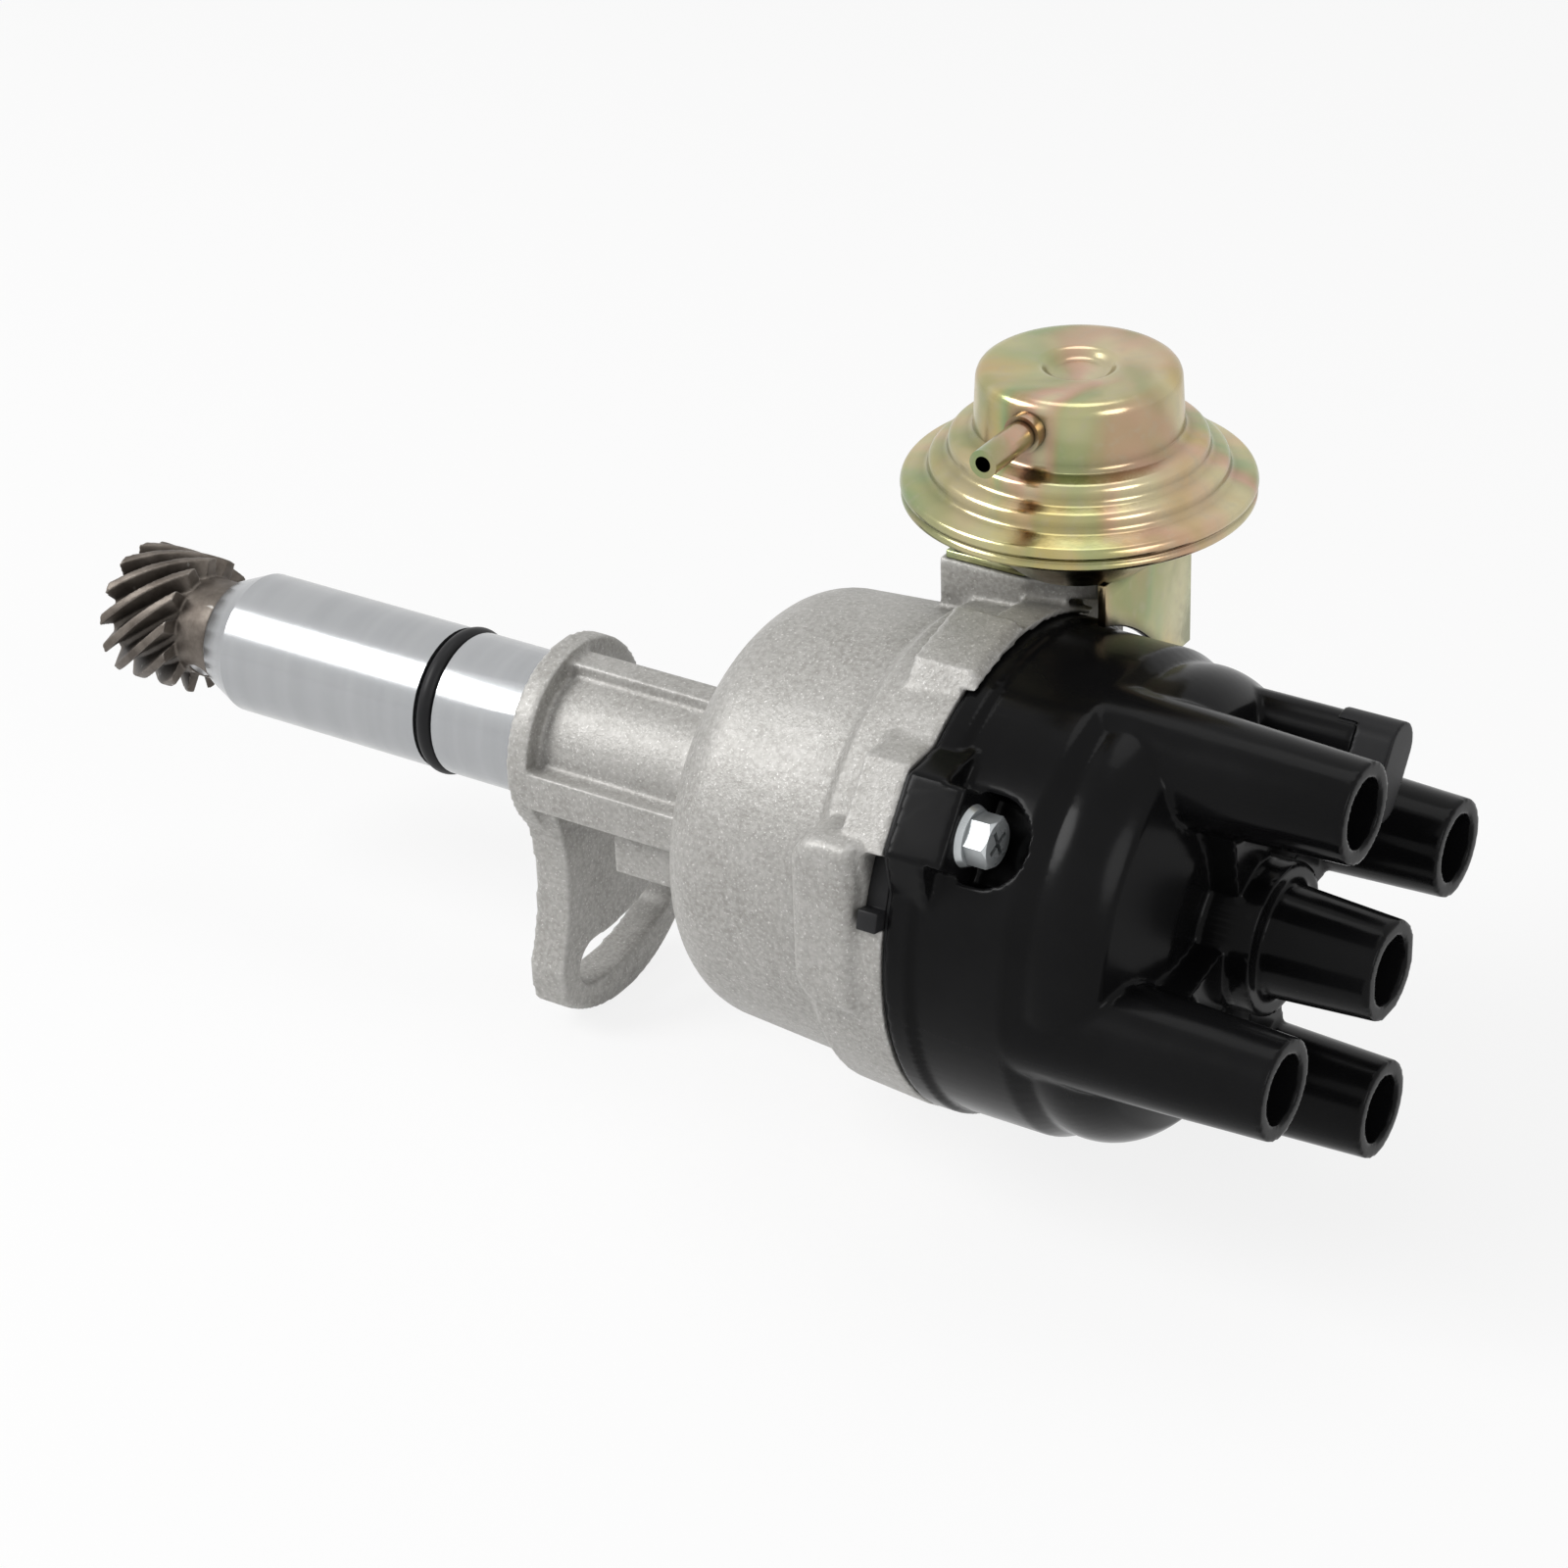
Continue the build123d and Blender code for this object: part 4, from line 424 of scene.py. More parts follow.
def paintedCornerShade(tree, reach, low, start=0.25):
    # painted shade from ambient occlusion: 1 in the open, falling to low deep in a corner
    paintedShade = tree.nodes.new("ShaderNodeAmbientOcclusion")
    paintedShade.samples = 6
    paintedShade.inputs["Distance"].default_value = reach
    return addRange(tree, paintedShade.outputs["AO"], start, 0.95, low, 1.0)


def overlaid(tree, mask, share, under, over):
    # over laid on under where the mask allows, up to that share
    return addMixColor(tree, addMath(tree, "MULTIPLY", mask, share), under, over)


def dimmed(tree, color, value):
    node = tree.nodes.new("ShaderNodeMix")
    node.data_type = "RGBA"
    node.blend_type = "MULTIPLY"
    node.inputs[0].default_value = 1.0
    tree.links.new(color, node.inputs[6])
    tree.links.new(value, node.inputs[7])
    return node.outputs[2]


def bumpFrom(tree, bsdf, height, strength, distance):
    bump = tree.nodes.new("ShaderNodeBump")
    bump.inputs["Strength"].default_value = strength
    bump.inputs["Distance"].default_value = distance
    tree.links.new(height, bump.inputs["Height"])
    tree.links.new(bump.outputs["Normal"], bsdf.inputs["Normal"])


castSet = {
    "grain": 2300.0,
    "mottle": 70.0,
    "edge": (0.515, 0.58),
    "patch": 260.0,
    "dark": (0.30, 0.29, 0.27, 1),
    "light": (0.38, 0.37, 0.35, 1),
    "sand": (0.53, 0.52, 0.50, 1),
    "sandShare": 0.55,
    "fleck": (0.80, 0.79, 0.77, 1),
    "fleckShare": 0.8,
    "worn": (0.78, 0.775, 0.755, 1),
    # darker colour laid in concave hollows
    "hollowDark": (0.22, 0.21, 0.19, 1),
    "wearShare": 0.5,
    # painted shade in corners: reach of the ambient occlusion and the darkest share it leaves
    "paintedShade": (6 * mm, 0.55),
    "metallic": 0.22,
    "rough": (0.52, 0.42),
    "bump": (0.6, 0.16 * mm),
}


def castAluminium(s):
    mat, tree, bsdf, at = newMaterial("castAluminium")
    grain = placeGroup(tree, castGrain, at, Grain=s["grain"], Mottle=s["mottle"])
    wear = placeWear(tree, at, *s["edge"], s["patch"])
    body = addMixColor(tree, grain.outputs["Tone"], s["dark"], s["light"])
    sanded = overlaid(tree, grain.outputs["Sand"], s["sandShare"], body, s["sand"])
    flecked = overlaid(tree, grain.outputs["Speck"], s["fleckShare"], sanded, s["fleck"])
    worn = overlaid(tree, wear.outputs["Edge"], s["wearShare"], flecked, s["worn"])
    # a darker colour laid in concave hollows, found by pointiness
    hollowDarkened = overlaid(tree, wear.outputs["Hollow"], s["wearShare"], worn, s["hollowDark"])
    # painted shade: the colour is darkened by ambient occlusion in corners and recesses
    tree.links.new(dimmed(tree, hollowDarkened, paintedCornerShade(tree, *s["paintedShade"])), bsdf.inputs["Base Color"])
    bsdf.inputs["Metallic"].default_value = s["metallic"]
    tree.links.new(addRange(tree, grain.outputs["Tone"], 0, 1, *s["rough"]), bsdf.inputs["Roughness"])
    bumpFrom(tree, bsdf, grain.outputs["Height"], *s["bump"])
    return mat


turnedSet = {
    "pitch": 2400.0,
    "dark": (0.39, 0.40, 0.41, 1),
    "light": (0.42, 0.43, 0.44, 1),
    "smear": (0.62, 0.62, 0.61, 1),
    "smearShare": 0.06,
    "metallic": 0.85,
    "rough": (0.22, 0.19),
    "bump": (0.25, 0.03 * mm),
}


def turnedAluminium(s):
    mat, tree, bsdf, at = newMaterial("turnedAluminium")
    marks = placeGroup(tree, turnedMarks, at, Pitch=s["pitch"])
    color = addMixColor(tree, marks.outputs["Streak"], s["dark"], s["light"])
    smeared = overlaid(tree, marks.outputs["Smear"], s["smearShare"], color, s["smear"])
    tree.links.new(smeared, bsdf.inputs["Base Color"])
    bsdf.inputs["Metallic"].default_value = s["metallic"]
    tree.links.new(addRange(tree, marks.outputs["Streak"], 0, 1, *s["rough"]), bsdf.inputs["Roughness"])
    bumpFrom(tree, bsdf, marks.outputs["Height"], *s["bump"])
    return mat


# black plastic and rubber; gloss is the specular level
mouldingSet = {
    "black_rubber": {
        "name": "blackRubber", "dark": (0.008, 0.008, 0.009, 1), "light": (0.018, 0.018, 0.019, 1),
        "gloss": 0.20, "rough": 0.40, "grain": 1400.0, "depth": 0.04 * mm,
    },
    "black_cap": {
        "name": "capPlastic", "dark": (0.0042, 0.0042, 0.0045, 1), "light": (0.0070, 0.0070, 0.0074, 1),
        "gloss": 0.08, "rough": 0.15, "grain": 800.0, "depth": 0.03 * mm,
    },
    "dark_moulding": {
        "name": "darkMoulding", "dark": (0.009, 0.009, 0.010, 1), "light": (0.015, 0.015, 0.016, 1),
        "gloss": 0.13, "rough": 0.30, "grain": 900.0, "depth": 0.05 * mm,
    },
}
rubbedSet = {
    "mottle": 34.0,
    "edge": (0.52, 0.62),
    "patch": 200.0,
    "color": (0.030, 0.030, 0.031, 1),
    "share": 0.35,
    "roughSpread": 0.10,
    "bump": 0.12,
}


def blackMoulding(s, rubbed):
    mat, tree, bsdf, at = newMaterial(s["name"])
    grain = placeGroup(tree, castGrain, at, Grain=s["grain"], Mottle=rubbed["mottle"])
    wear = placeWear(tree, at, *rubbed["edge"], rubbed["patch"])
    color = addMixColor(tree, grain.outputs["Tone"], s["dark"], s["light"])
    worn = overlaid(tree, wear.outputs["Edge"], rubbed["share"], color, rubbed["color"])
    tree.links.new(worn, bsdf.inputs["Base Color"])
    bsdf.inputs["Specular IOR Level"].default_value = s["gloss"]
    rough = addRange(tree, grain.outputs["Tone"], 0, 1, s["rough"], s["rough"] + rubbed["roughSpread"])
    tree.links.new(rough, bsdf.inputs["Roughness"])
    bumpFrom(tree, bsdf, grain.outputs["Height"], rubbed["bump"], s["depth"])
    return mat


gearSet = {
    "grain": 1900.0,
    "mottle": 220.0,
    "edge": (0.53, 0.64),
    "patch": 500.0,
    "dark": (0.085, 0.070, 0.058, 1),
    "light": (0.190, 0.165, 0.142, 1),
    "worn": (0.50, 0.48, 0.45, 1),
    "wornShare": 0.85,
    # painted shade in corners: reach of the ambient occlusion and the darkest share it leaves
    "paintedShade": (3 * mm, 0.4),
    "metallic": 0.7,
    "rough": (0.50, 0.30),
    "bump": (0.4, 0.06 * mm),
}


def gearSteel(s):
    mat, tree, bsdf, at = newMaterial("gearSteel")
    grain = placeGroup(tree, castGrain, at, Grain=s["grain"], Mottle=s["mottle"])
    wear = placeWear(tree, at, *s["edge"], s["patch"])
    color = addMixColor(tree, grain.outputs["Tone"], s["dark"], s["light"])
    worn = overlaid(tree, wear.outputs["Edge"], s["wornShare"], color, s["worn"])
    # painted shade: the colour is darkened by ambient occlusion between the teeth
    tree.links.new(dimmed(tree, worn, paintedCornerShade(tree, *s["paintedShade"])), bsdf.inputs["Base Color"])
    bsdf.inputs["Metallic"].default_value = s["metallic"]
    tree.links.new(addRange(tree, wear.outputs["Edge"], 0, 1, *s["rough"]), bsdf.inputs["Roughness"])
    bumpFrom(tree, bsdf, grain.outputs["Height"], *s["bump"])
    return mat


metalSet = {
    "bright_steel": {
        "name": "brightZinc", "dark": (0.48, 0.51, 0.52, 1), "light": (0.64, 0.67, 0.68, 1),
        "rough": 0.24, "metallic": 0.6,
    },
    "plain_steel": {
        "name": "groundSteel", "dark": (0.44, 0.44, 0.45, 1), "light": (0.60, 0.60, 0.61, 1),
        "rough": 0.28, "metallic": 1.0,
    },
    "spring_steel": {
        "name": "springWire", "dark": (0.30, 0.30, 0.31, 1), "light": (0.46, 0.46, 0.47, 1),
        "rough": 0.32, "metallic": 1.0,
    },
    "bronze": {
        "name": "sinteredBronze", "dark": (0.42, 0.27, 0.13, 1), "light": (0.58, 0.40, 0.21, 1),
        "rough": 0.42, "metallic": 1.0,
    },
    "brass_contact": {
        "name": "brassContact", "dark": (0.66, 0.50, 0.22, 1), "light": (0.80, 0.64, 0.32, 1),
        "rough": 0.22, "metallic": 1.0,
    },
    "carbon": {
        "name": "carbonBlock", "dark": (0.02, 0.02, 0.02, 1), "light": (0.05, 0.05, 0.05, 1),
        "rough": 0.6, "metallic": 0.2,
    },
}
plainSet = {
    "grain": 1500.0,
    "mottle": 90.0,
    # painted shade in corners: reach of the ambient occlusion and the darkest share it leaves
    "paintedShade": (2 * mm, 0.35),
    "roughSpread": 0.06,
    "bump": (0.15, 0.02 * mm),
}


def plainMetal(s, plain):
    mat, tree, bsdf, at = newMaterial(s["name"])
    grain = placeGroup(tree, castGrain, at, Grain=plain["grain"], Mottle=plain["mottle"])
    tone = addMixColor(tree, grain.outputs["Tone"], s["dark"], s["light"])
    # painted shade: the colour is darkened by ambient occlusion in corners and recesses
    tree.links.new(dimmed(tree, tone, paintedCornerShade(tree, *plain["paintedShade"])), bsdf.inputs["Base Color"])
    bsdf.inputs["Metallic"].default_value = s["metallic"]
    rough = addRange(tree, grain.outputs["Tone"], 0, 1, s["rough"] + plain["roughSpread"], s["rough"])
    tree.links.new(rough, bsdf.inputs["Roughness"])
    bumpFrom(tree, bsdf, grain.outputs["Height"], *plain["bump"])
    return mat


def filmRamp(tree, value, stops):
    ramp = tree.nodes.new("ShaderNodeValToRGB")
    ramp.color_ramp.interpolation = "B_SPLINE"
    marks = ramp.color_ramp.elements
    while len(marks) < len(stops):
        marks.new(0.5)
    for mark, (place, color) in zip(marks, stops):
        mark.position = place
        mark.color = color
    tree.links.new(value, ramp.inputs["Fac"])
    return ramp.outputs["Color"]


# passivated zinc: olive gold, with green, pink and pale patches where the film is thinner or thicker
olive = (0.30, 0.28, 0.12, 1)
gold = (0.50, 0.38, 0.14, 1)
pale = (0.55, 0.52, 0.32, 1)
green = (0.22, 0.35, 0.19, 1)
pink = (0.58, 0.29, 0.25, 1)
zincSet = {
    "patch": 30.0,
    "base": [(0.0, green), (0.3, olive), (0.55, pale), (0.8, gold), (1.0, olive)],
    "film": [(0.0, pink), (0.22, gold), (0.42, green), (0.6, olive), (0.82, pink), (1.0, pale)],
    "filmShare": (0.15, 0.85),
    "dust": (0.42, 0.38, 0.28, 1),
    "dustShare": 0.25,
    # painted shade in the grooves: reach of the ambient occlusion, darkest share, and where it starts
    "paintedShade": (3.2 * mm, 0.03, 0.42),
    "rough": (0.17, 0.27),
    "rippleFine": 0.15,
    "bump": (0.12, 0.35 * mm),
}


def yellowZinc(s):
    mat, tree, bsdf, at = newMaterial("yellowZinc")
    stain = placeGroup(tree, stains, at, Size=s["patch"])
    base = filmRamp(tree, stain.outputs["Broad"], s["base"])
    film = filmRamp(tree, stain.outputs["Film"], s["film"])
    mixed = addMixColor(tree, addRange(tree, stain.outputs["Bands"], 0.2, 0.8, *s["filmShare"]), base, film)
    dust = addRange(tree, stain.outputs["Fine"], 0.55, 1.0, 0.0, s["dustShare"])
    dusted = addMixColor(tree, dust, mixed, s["dust"])
    # painted shade: the colour is darkened by ambient occlusion in the grooves between the rings
    tree.links.new(dimmed(tree, dusted, paintedCornerShade(tree, *s["paintedShade"])), bsdf.inputs["Base Color"])
    bsdf.inputs["Metallic"].default_value = 1.0
    tree.links.new(addRange(tree, stain.outputs["Fine"], 0, 1, *s["rough"]), bsdf.inputs["Roughness"])
    fine = addMath(tree, "MULTIPLY", stain.outputs["Fine"], s["rippleFine"])
    bumpFrom(tree, bsdf, addMath(tree, "ADD", fine, stain.outputs["Bands"]), *s["bump"])
    return mat


feltSet = {
    "grain": 2500.0,
    "mottle": 300.0,
    "dark": (0.34, 0.30, 0.21, 1),
    "light": (0.50, 0.46, 0.35, 1),
    "rough": 0.95,
    "bump": (0.8, 0.3 * mm),
}


def feltCloth(s):
    mat, tree, bsdf, at = newMaterial("feltCloth")
    grain = placeGroup(tree, castGrain, at, Grain=s["grain"], Mottle=s["mottle"])
    color = addMixColor(tree, grain.outputs["Tone"], s["dark"], s["light"])
    tree.links.new(color, bsdf.inputs["Base Color"])
    bsdf.inputs["Roughness"].default_value = s["rough"]
    bumpFrom(tree, bsdf, grain.outputs["Height"], *s["bump"])
    return mat


finishes = {
    "cast_aluminium": castAluminium(castSet),
    "machined_aluminium": turnedAluminium(turnedSet),
    "dark_steel": gearSteel(gearSet),
    "felt": feltCloth(feltSet),
    "yellow_zinc": yellowZinc(zincSet),
}
finishes.update({slot: plainMetal(s, plainSet) for slot, s in metalSet.items()})
finishes.update({slot: blackMoulding(s, rubbedSet) for slot, s in mouldingSet.items()})
slotOf = {row["node"]: row["material_slot"] for row in frame["record"]["subparts"]}
for name, node in nodes.items():
    node.data.materials.clear()
    node.data.materials.append(finishes[slotOf[name]])
print("finishes built:", len(finishes))


# pieces whose edges are rounded: thin sheet and small parts by a bevel
bevelSet = {
    "vacuum_bracket": {"edge": 0.35 * mm, "turn": 38, "segments": 2},
    "bracket_screws": {"edge": 0.3 * mm, "turn": 38, "segments": 2},
    "cap_gasket": {"edge": 0.12 * mm, "turn": 38, "segments": 1},
    "rim_grommet": {"edge": 0.3 * mm, "turn": 38, "segments": 2},
}
# castings and mouldings by a fine skin laid over the solid and eased, which rounds inner corners too;
# keep is the share of its triangles left where it is flat enough to do without the rest
skinSet = {
    "housing": {"cell": 0.60 * mm, "ease": 2, "keep": 0.50, "from": -0.02 * mm},
    "distributor_cap": {"cell": 0.55 * mm, "ease": 3, "keep": 0.42, "from": None},
    "drive_gear": {"cell": 0.25 * mm, "ease": 3, "keep": 0.75, "from": None},
    "vent_hood": {"cell": 0.30 * mm, "ease": 5, "keep": 1.0, "from": None},
}
bodies = frame["record"]["behaviour"]["bodies"]
bodyOf = {node: body for body, members in bodies.items() for node in members}
# angles in degrees; an edge that turns more than sharp stays crisp
meshSet = {"weld": 2e-6, "flat": 0.6, "sharp": 30, "sharpBevel": 40, "sharpTurned": 12, "sharpSpring": 50}


def mergedCopy(name, label):
    mesh = nodes[name].data.copy()
    mesh.name = label
    bm = bmesh.new()
    bm.from_mesh(mesh)
    bmesh.ops.remove_doubles(bm, verts=bm.verts, dist=meshSet["weld"])
    bm.to_mesh(mesh)
    bm.free()
    piece = bpy.data.objects.new(label, mesh)
    bpy.context.scene.collection.objects.link(piece)
    return piece


def bakeModifiers(piece):
    graph = bpy.context.evaluated_depsgraph_get()
    made = bpy.data.meshes.new_from_object(piece.evaluated_get(graph))
    piece.modifiers.clear()
    piece.data = made


def settle(piece, name, smoothAngle):
    piece.data.shade_smooth()
    if smoothAngle is not None:
        piece.data.set_sharp_from_angle(angle=math.radians(smoothAngle))
    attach(piece, bodyOf[name])
    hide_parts(name)
    return piece


def beveledPiece(name, s):
    piece = mergedCopy(name, name + "_finished")
    bm = bmesh.new()
    bm.from_mesh(piece.data)
    bmesh.ops.dissolve_limit(bm, angle_limit=math.radians(meshSet["flat"]), verts=bm.verts, edges=bm.edges)
    bm.to_mesh(piece.data)
    bm.free()
    bevel = piece.modifiers.new("edges", "BEVEL")
    bevel.limit_method = "ANGLE"
    bevel.angle_limit = math.radians(s["turn"])
    bevel.width = s["edge"]
    bevel.segments = s["segments"]
    bevel.use_clamp_overlap = True
    bakeModifiers(piece)
    return settle(piece, name, meshSet["sharpBevel"])


def cutAway(piece, planeX, keepHigh):
    # keeps the part of a closed mesh on one side of a plane across the shaft, and closes the cut
    bm = bmesh.new()
    bm.from_mesh(piece.data)
    parts = bm.verts[:] + bm.edges[:] + bm.faces[:]
    made = bmesh.ops.bisect_plane(
        bm, geom=parts, plane_co=(planeX, 0, 0), plane_no=(1, 0, 0),
        clear_inner=keepHigh, clear_outer=not keepHigh,
    )
    rim = [g for g in made["geom_cut"] if isinstance(g, bmesh.types.BMEdge)]
    bmesh.ops.triangle_fill(bm, edges=rim, use_beauty=True, use_dissolve=False)
    bmesh.ops.recalc_face_normals(bm, faces=bm.faces)
    bm.to_mesh(piece.data)
    bm.free()


def skinOver(piece, s):
    skin = piece.modifiers.new("skin", "REMESH")
    skin.mode = "VOXEL"
    skin.voxel_size = s["cell"]
    skin.use_smooth_shade = True
    soft = piece.modifiers.new("ease", "SMOOTH")
    soft.factor = 0.5
    soft.iterations = s["ease"]
    thin = piece.modifiers.new("thin", "DECIMATE")
    thin.ratio = s["keep"]
    bakeModifiers(piece)


def skinnedPiece(name, s):
    piece = mergedCopy(name, name + "_finished")
    if s["from"] is not None:
        turned = mergedCopy(name, name + "_turned")
        cutAway(turned, s["from"], False)
        cutAway(piece, s["from"], True)
    skinOver(piece, s)
    if s["from"] is not None:
        joinTurned(piece, turned)
    return settle(piece, name, None)


def joinTurned(piece, turned):
    # the turned part keeps its sharp edges and takes the second finish
    bm = bmesh.new()
    bm.from_mesh(piece.data)
    count = len(bm.faces)
    crisp = math.radians(meshSet["sharpTurned"])
    bm.from_mesh(turned.data)
    bm.faces.ensure_lookup_table()
    for face in bm.faces[count:]:
        face.material_index = 1
        face.smooth = True
        for edge in face.edges:
            if len(edge.link_faces) == 2 and edge.calc_face_angle(0) > crisp:
                edge.smooth = False
    piece.data.materials.append(finishes["machined_aluminium"])
    bm.to_mesh(piece.data)
    bm.free()
    bpy.data.objects.remove(turned)


# screws of the cap: a hexagon with a coned top on a flange, with a cross recess
capScrewSet = {
    "at": [(105.5 * mm, -33.28 * mm, 25.63 * mm), (105.5 * mm, 33.28 * mm, -25.63 * mm)],
    "sizes": {
        "Across Flats": 8.0 * mm,
        "Head Height": 4.1 * mm,
        "Flange Radius": 5.4 * mm,
        "Flange Thickness": 1.1 * mm,
        "Recess Length": 5.2 * mm,
        "Recess Width": 0.9 * mm,
        "Recess Depth": 1.2 * mm,
        "Shank Radius": 2.45 * mm,
        "Shank Length": 10.0 * mm,
        "Turn": 0.35,
    },
    "coneFoot": 1.07,
    "coneTop": 0.49,
    "rimShare": 0.9,
    "roundCuts": 48,
    "shankCuts": 24,
    "sharp": 30,
}


def addNode(tree, kind, links=(), **settings):
    # a geometry node with its plain values set and its links made
    node = tree.nodes.new(kind)
    for label, value in settings.items():
        node.inputs[label.replace("_", " ")].default_value = value
    for label, source in links:
        tree.links.new(source, node.inputs[label])
    return node


def lifted(tree, shape, height):
    place = tree.nodes.new("ShaderNodeCombineXYZ")
    tree.links.new(height, place.inputs["Z"])
    move = addNode(tree, "GeometryNodeTransform", [("Geometry", shape), ("Translation", place.outputs[0])])
    return move.outputs["Geometry"]


def flangedScrewTree(s):
    tree = bpy.data.node_groups.new("flangedScrews", "GeometryNodeTree")
    tree.interface.new_socket(name="Geometry", in_out="INPUT", socket_type="NodeSocketGeometry")
    for label in s["sizes"]:
        tree.interface.new_socket(name=label, in_out="INPUT", socket_type="NodeSocketFloat")
    tree.interface.new_socket(name="Finish", in_out="INPUT", socket_type="NodeSocketMaterial")
    tree.interface.new_socket(name="Geometry", in_out="OUTPUT", socket_type="NodeSocketGeometry")
    start = tree.nodes.new("NodeGroupInput").outputs
    end = tree.nodes.new("NodeGroupOutput")
    across = start["Across Flats"]
    corner = addMath(tree, "MULTIPLY", across, 1 / math.sqrt(3))
    hexagon = addNode(
        tree, "GeometryNodeMeshCylinder",
        [("Radius", corner), ("Depth", start["Head Height"])],
        Vertices=6,
    )
    halfHead = addMath(tree, "MULTIPLY", start["Head Height"], 0.5)
    middle = addMath(tree, "ADD", halfHead, start["Flange Thickness"])
    prism = lifted(tree, hexagon.outputs["Mesh"], middle)
    cone = addNode(
        tree, "GeometryNodeMeshCone",
        [
            ("Radius Bottom", addMath(tree, "MULTIPLY", across, s["coneFoot"])),
            ("Radius Top", addMath(tree, "MULTIPLY", across, s["coneTop"])),
            ("Depth", start["Head Height"]),
        ],
        Vertices=s["roundCuts"],
    )
    coned = tree.nodes.new("GeometryNodeMeshBoolean")
    coned.operation = "INTERSECT"
    coned.solver = "EXACT"
    tree.links.new(prism, coned.inputs[1])
    tree.links.new(lifted(tree, cone.outputs["Mesh"], start["Flange Thickness"]), coned.inputs[1])
    headTop = addMath(tree, "ADD", start["Head Height"], start["Flange Thickness"])
    deep = addMath(tree, "MULTIPLY", start["Recess Depth"], 2.0)
    recessed = tree.nodes.new("GeometryNodeMeshBoolean")
    recessed.operation = "DIFFERENCE"
    recessed.solver = "EXACT"
    tree.links.new(coned.outputs["Mesh"], recessed.inputs[0])
    for sides in (("Recess Length", "Recess Width"), ("Recess Width", "Recess Length")):
        size = tree.nodes.new("ShaderNodeCombineXYZ")
        tree.links.new(start[sides[0]], size.inputs["X"])
        tree.links.new(start[sides[1]], size.inputs["Y"])
        tree.links.new(deep, size.inputs["Z"])
        bar = addNode(tree, "GeometryNodeMeshCube", [("Size", size.outputs[0])])
        tree.links.new(lifted(tree, bar.outputs["Mesh"], headTop), recessed.inputs[1])
    flange = addNode(
        tree, "GeometryNodeMeshCone",
        [
            ("Radius Bottom", start["Flange Radius"]),
            ("Radius Top", addMath(tree, "MULTIPLY", start["Flange Radius"], s["rimShare"])),
            ("Depth", start["Flange Thickness"]),
        ],
        Vertices=s["roundCuts"],
    )
    shank = addNode(
        tree, "GeometryNodeMeshCylinder",
        [("Radius", start["Shank Radius"]), ("Depth", start["Shank Length"])],
        Vertices=s["shankCuts"],
    )
    whole = tree.nodes.new("GeometryNodeJoinGeometry")
    down = addMath(tree, "MULTIPLY", start["Shank Length"], -0.5)
    sunk = lifted(tree, shank.outputs["Mesh"], down)
    for shape in (recessed.outputs["Mesh"], flange.outputs["Mesh"], sunk):
        tree.links.new(shape, whole.inputs[0])
    lay = tree.nodes.new("FunctionNodeEulerToRotation")
    lay.inputs[0].default_value = (0.0, math.pi / 2, 0.0)
    spin = tree.nodes.new("ShaderNodeCombineXYZ")
    tree.links.new(start["Turn"], spin.inputs["Z"])
    turned = addNode(tree, "GeometryNodeTransform", [("Geometry", whole.outputs[0])])
    tree.links.new(spin.outputs[0], turned.inputs["Rotation"])
    placed = addNode(
        tree, "GeometryNodeInstanceOnPoints",
        [
            ("Points", start["Geometry"]),
            ("Instance", turned.outputs["Geometry"]),
            ("Rotation", lay.outputs[0]),
        ],
    )
    real = addNode(tree, "GeometryNodeRealizeInstances", [("Geometry", placed.outputs["Instances"])])
    coated = addNode(
        tree, "GeometryNodeSetMaterial",
        [("Geometry", real.outputs["Geometry"]), ("Material", start["Finish"])],
    )
    tree.links.new(coated.outputs["Geometry"], end.inputs["Geometry"])
    return tree


def capScrews(s):
    mesh = bpy.data.meshes.new("cap_screws_finished")
    mesh.from_pydata(s["at"], [], [])
    piece = bpy.data.objects.new("cap_screws_finished", mesh)
    bpy.context.scene.collection.objects.link(piece)
    tree = flangedScrewTree(s)
    maker = piece.modifiers.new("screws", "NODES")
    maker.node_group = tree
    sockets = tree.interface.items_tree
    keys = {item.name: item.identifier for item in sockets if item.in_out == "INPUT"}
    for label, value in s["sizes"].items():
        maker[keys[label]] = value
    maker[keys["Finish"]] = finishes["bright_steel"]
    bakeModifiers(piece)
    return settle(piece, "cap_screws", s["sharp"])


# upper shell of the canister, spun about its own axis: distance out, height, rounding of each corner
upperShellSet = {
    "centre": (94.5 * mm, 22.9 * mm),
    "foot": 64.6 * mm,
    "steps": 144,
    "wall": 0.8 * mm,
    "cornerCuts": 6,
    "sharp": 50,
    "outline": [
        (0.0, 18.9, 0.0), (5.0, 18.9, 0.8), (6.6, 20.5, 0.8), (17.3, 20.5, 2.6), (17.9, 9.0, 1.1),
        (22.0, 8.0, 1.2), (22.3, 5.2, 0.9), (25.4, 4.3, 1.1), (25.7, 1.7, 0.9), (30.0, 0.6, 0.6),
        (30.5, -0.9, 0.6), (29.7, -1.6, 0.3), (30.25, -2.3, 0.4), (30.2, -3.2, 0.5), (28.6, -3.7, 0.3),
        (27.0, -3.7, 0.0),
    ],
}


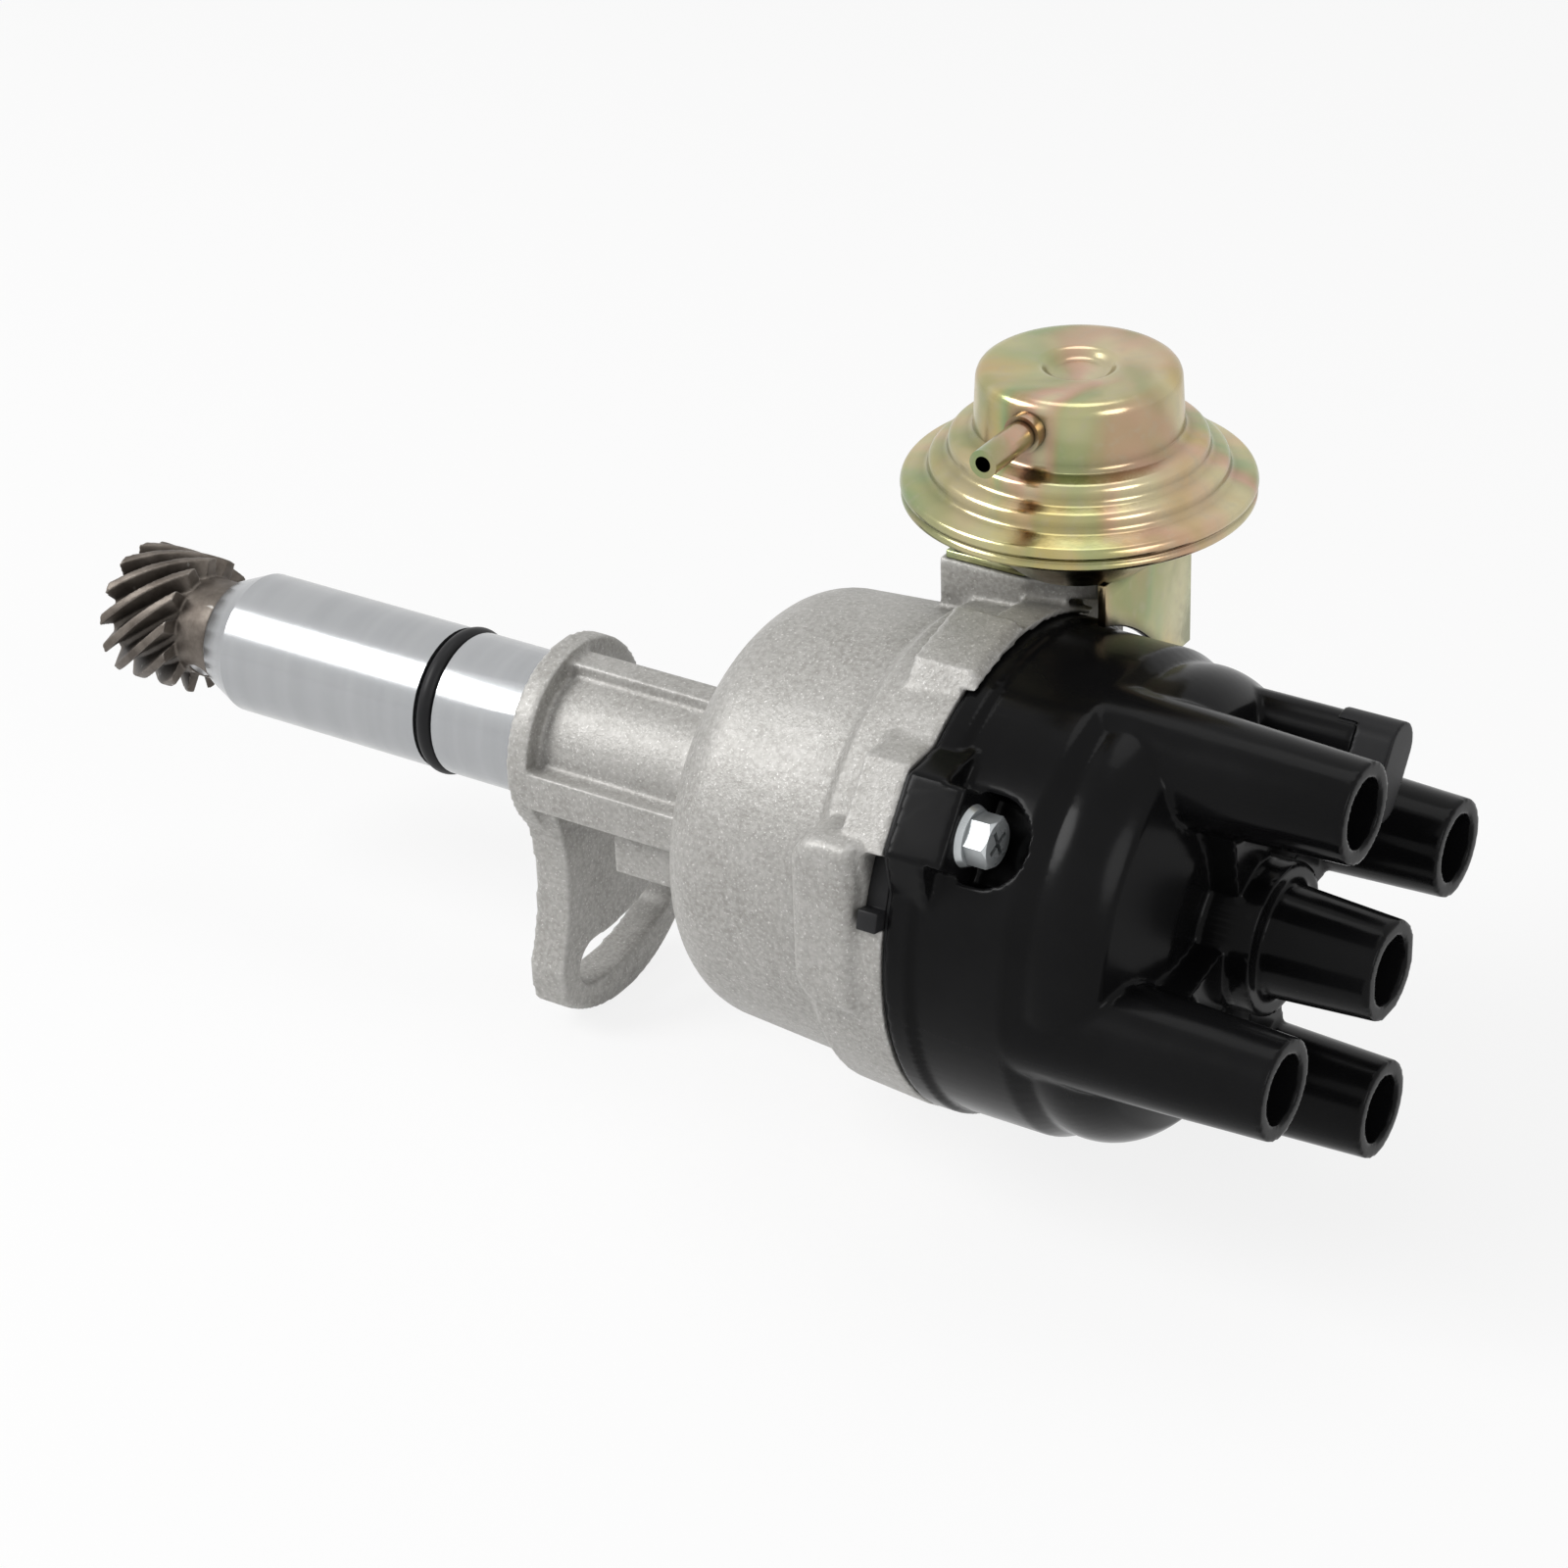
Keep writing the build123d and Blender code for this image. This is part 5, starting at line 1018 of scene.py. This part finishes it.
def roundedOutline(points, cuts):
    # each corner swapped for a curve that starts and ends its rounding away from it
    line = [Vector(points[0][:2])]
    for before, here, after in zip(points, points[1:], points[2:]):
        corner = Vector(here[:2])
        back = (Vector(before[:2]) - corner).normalized() * here[2]
        ahead = (Vector(after[:2]) - corner).normalized() * here[2]
        for i in range(cuts + 1):
            t = i / cuts
            line.append(corner + back * (1 - t) ** 2 + ahead * t ** 2)
    line.append(Vector(points[-1][:2]))
    return line


def upperShell(s):
    outline = roundedOutline(s["outline"], s["cornerCuts"])
    x, y = s["centre"]
    bm = bmesh.new()
    pole = bm.verts.new((x, y, s["foot"] + outline[0].y * mm))
    turns = [math.tau * step / s["steps"] for step in range(s["steps"])]
    rings = []
    for point in outline[1:]:
        out = point.x * mm
        z = s["foot"] + point.y * mm
        rings.append([bm.verts.new((x + out * math.cos(a), y + out * math.sin(a), z)) for a in turns])
    for j in range(s["steps"]):
        k = (j + 1) % s["steps"]
        bm.faces.new((pole, rings[0][j], rings[0][k]))
        for inner, outer in zip(rings, rings[1:]):
            bm.faces.new((inner[j], outer[j], outer[k], inner[k]))
    mesh = bpy.data.meshes.new("vacuum_upper_shell_finished")
    bm.to_mesh(mesh)
    bm.free()
    mesh.materials.append(finishes["yellow_zinc"])
    piece = bpy.data.objects.new("vacuum_upper_shell_finished", mesh)
    bpy.context.scene.collection.objects.link(piece)
    wall = piece.modifiers.new("wall", "SOLIDIFY")
    wall.thickness = s["wall"]
    wall.offset = -1
    bakeModifiers(piece)
    return settle(piece, "vacuum_upper_shell", s["sharp"])


def squeezedSpring(name):
    # the coil as it is, copied with a mesh of its own
    piece = settle(mergedCopy(name, name + "_finished"), name, meshSet["sharpSpring"])
    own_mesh(piece)
    return piece


finished = {name: beveledPiece(name, s) for name, s in bevelSet.items()}
finished["vacuum_spring"] = squeezedSpring("vacuum_spring")
finished["vacuum_upper_shell"] = upperShell(upperShellSet)
finished["cap_screws"] = capScrews(capScrewSet)
finished.update({name: skinnedPiece(name, s) for name, s in skinSet.items()})
for name, piece in finished.items():
    triangles = sum(len(face.vertices) - 2 for face in piece.data.polygons)
    print("finished", name, triangles, "triangles")

for name, node in nodes.items():
    if not node.hide_render:
        node.data.shade_smooth()
        node.data.set_sharp_from_angle(angle=math.radians(meshSet["sharp"]))
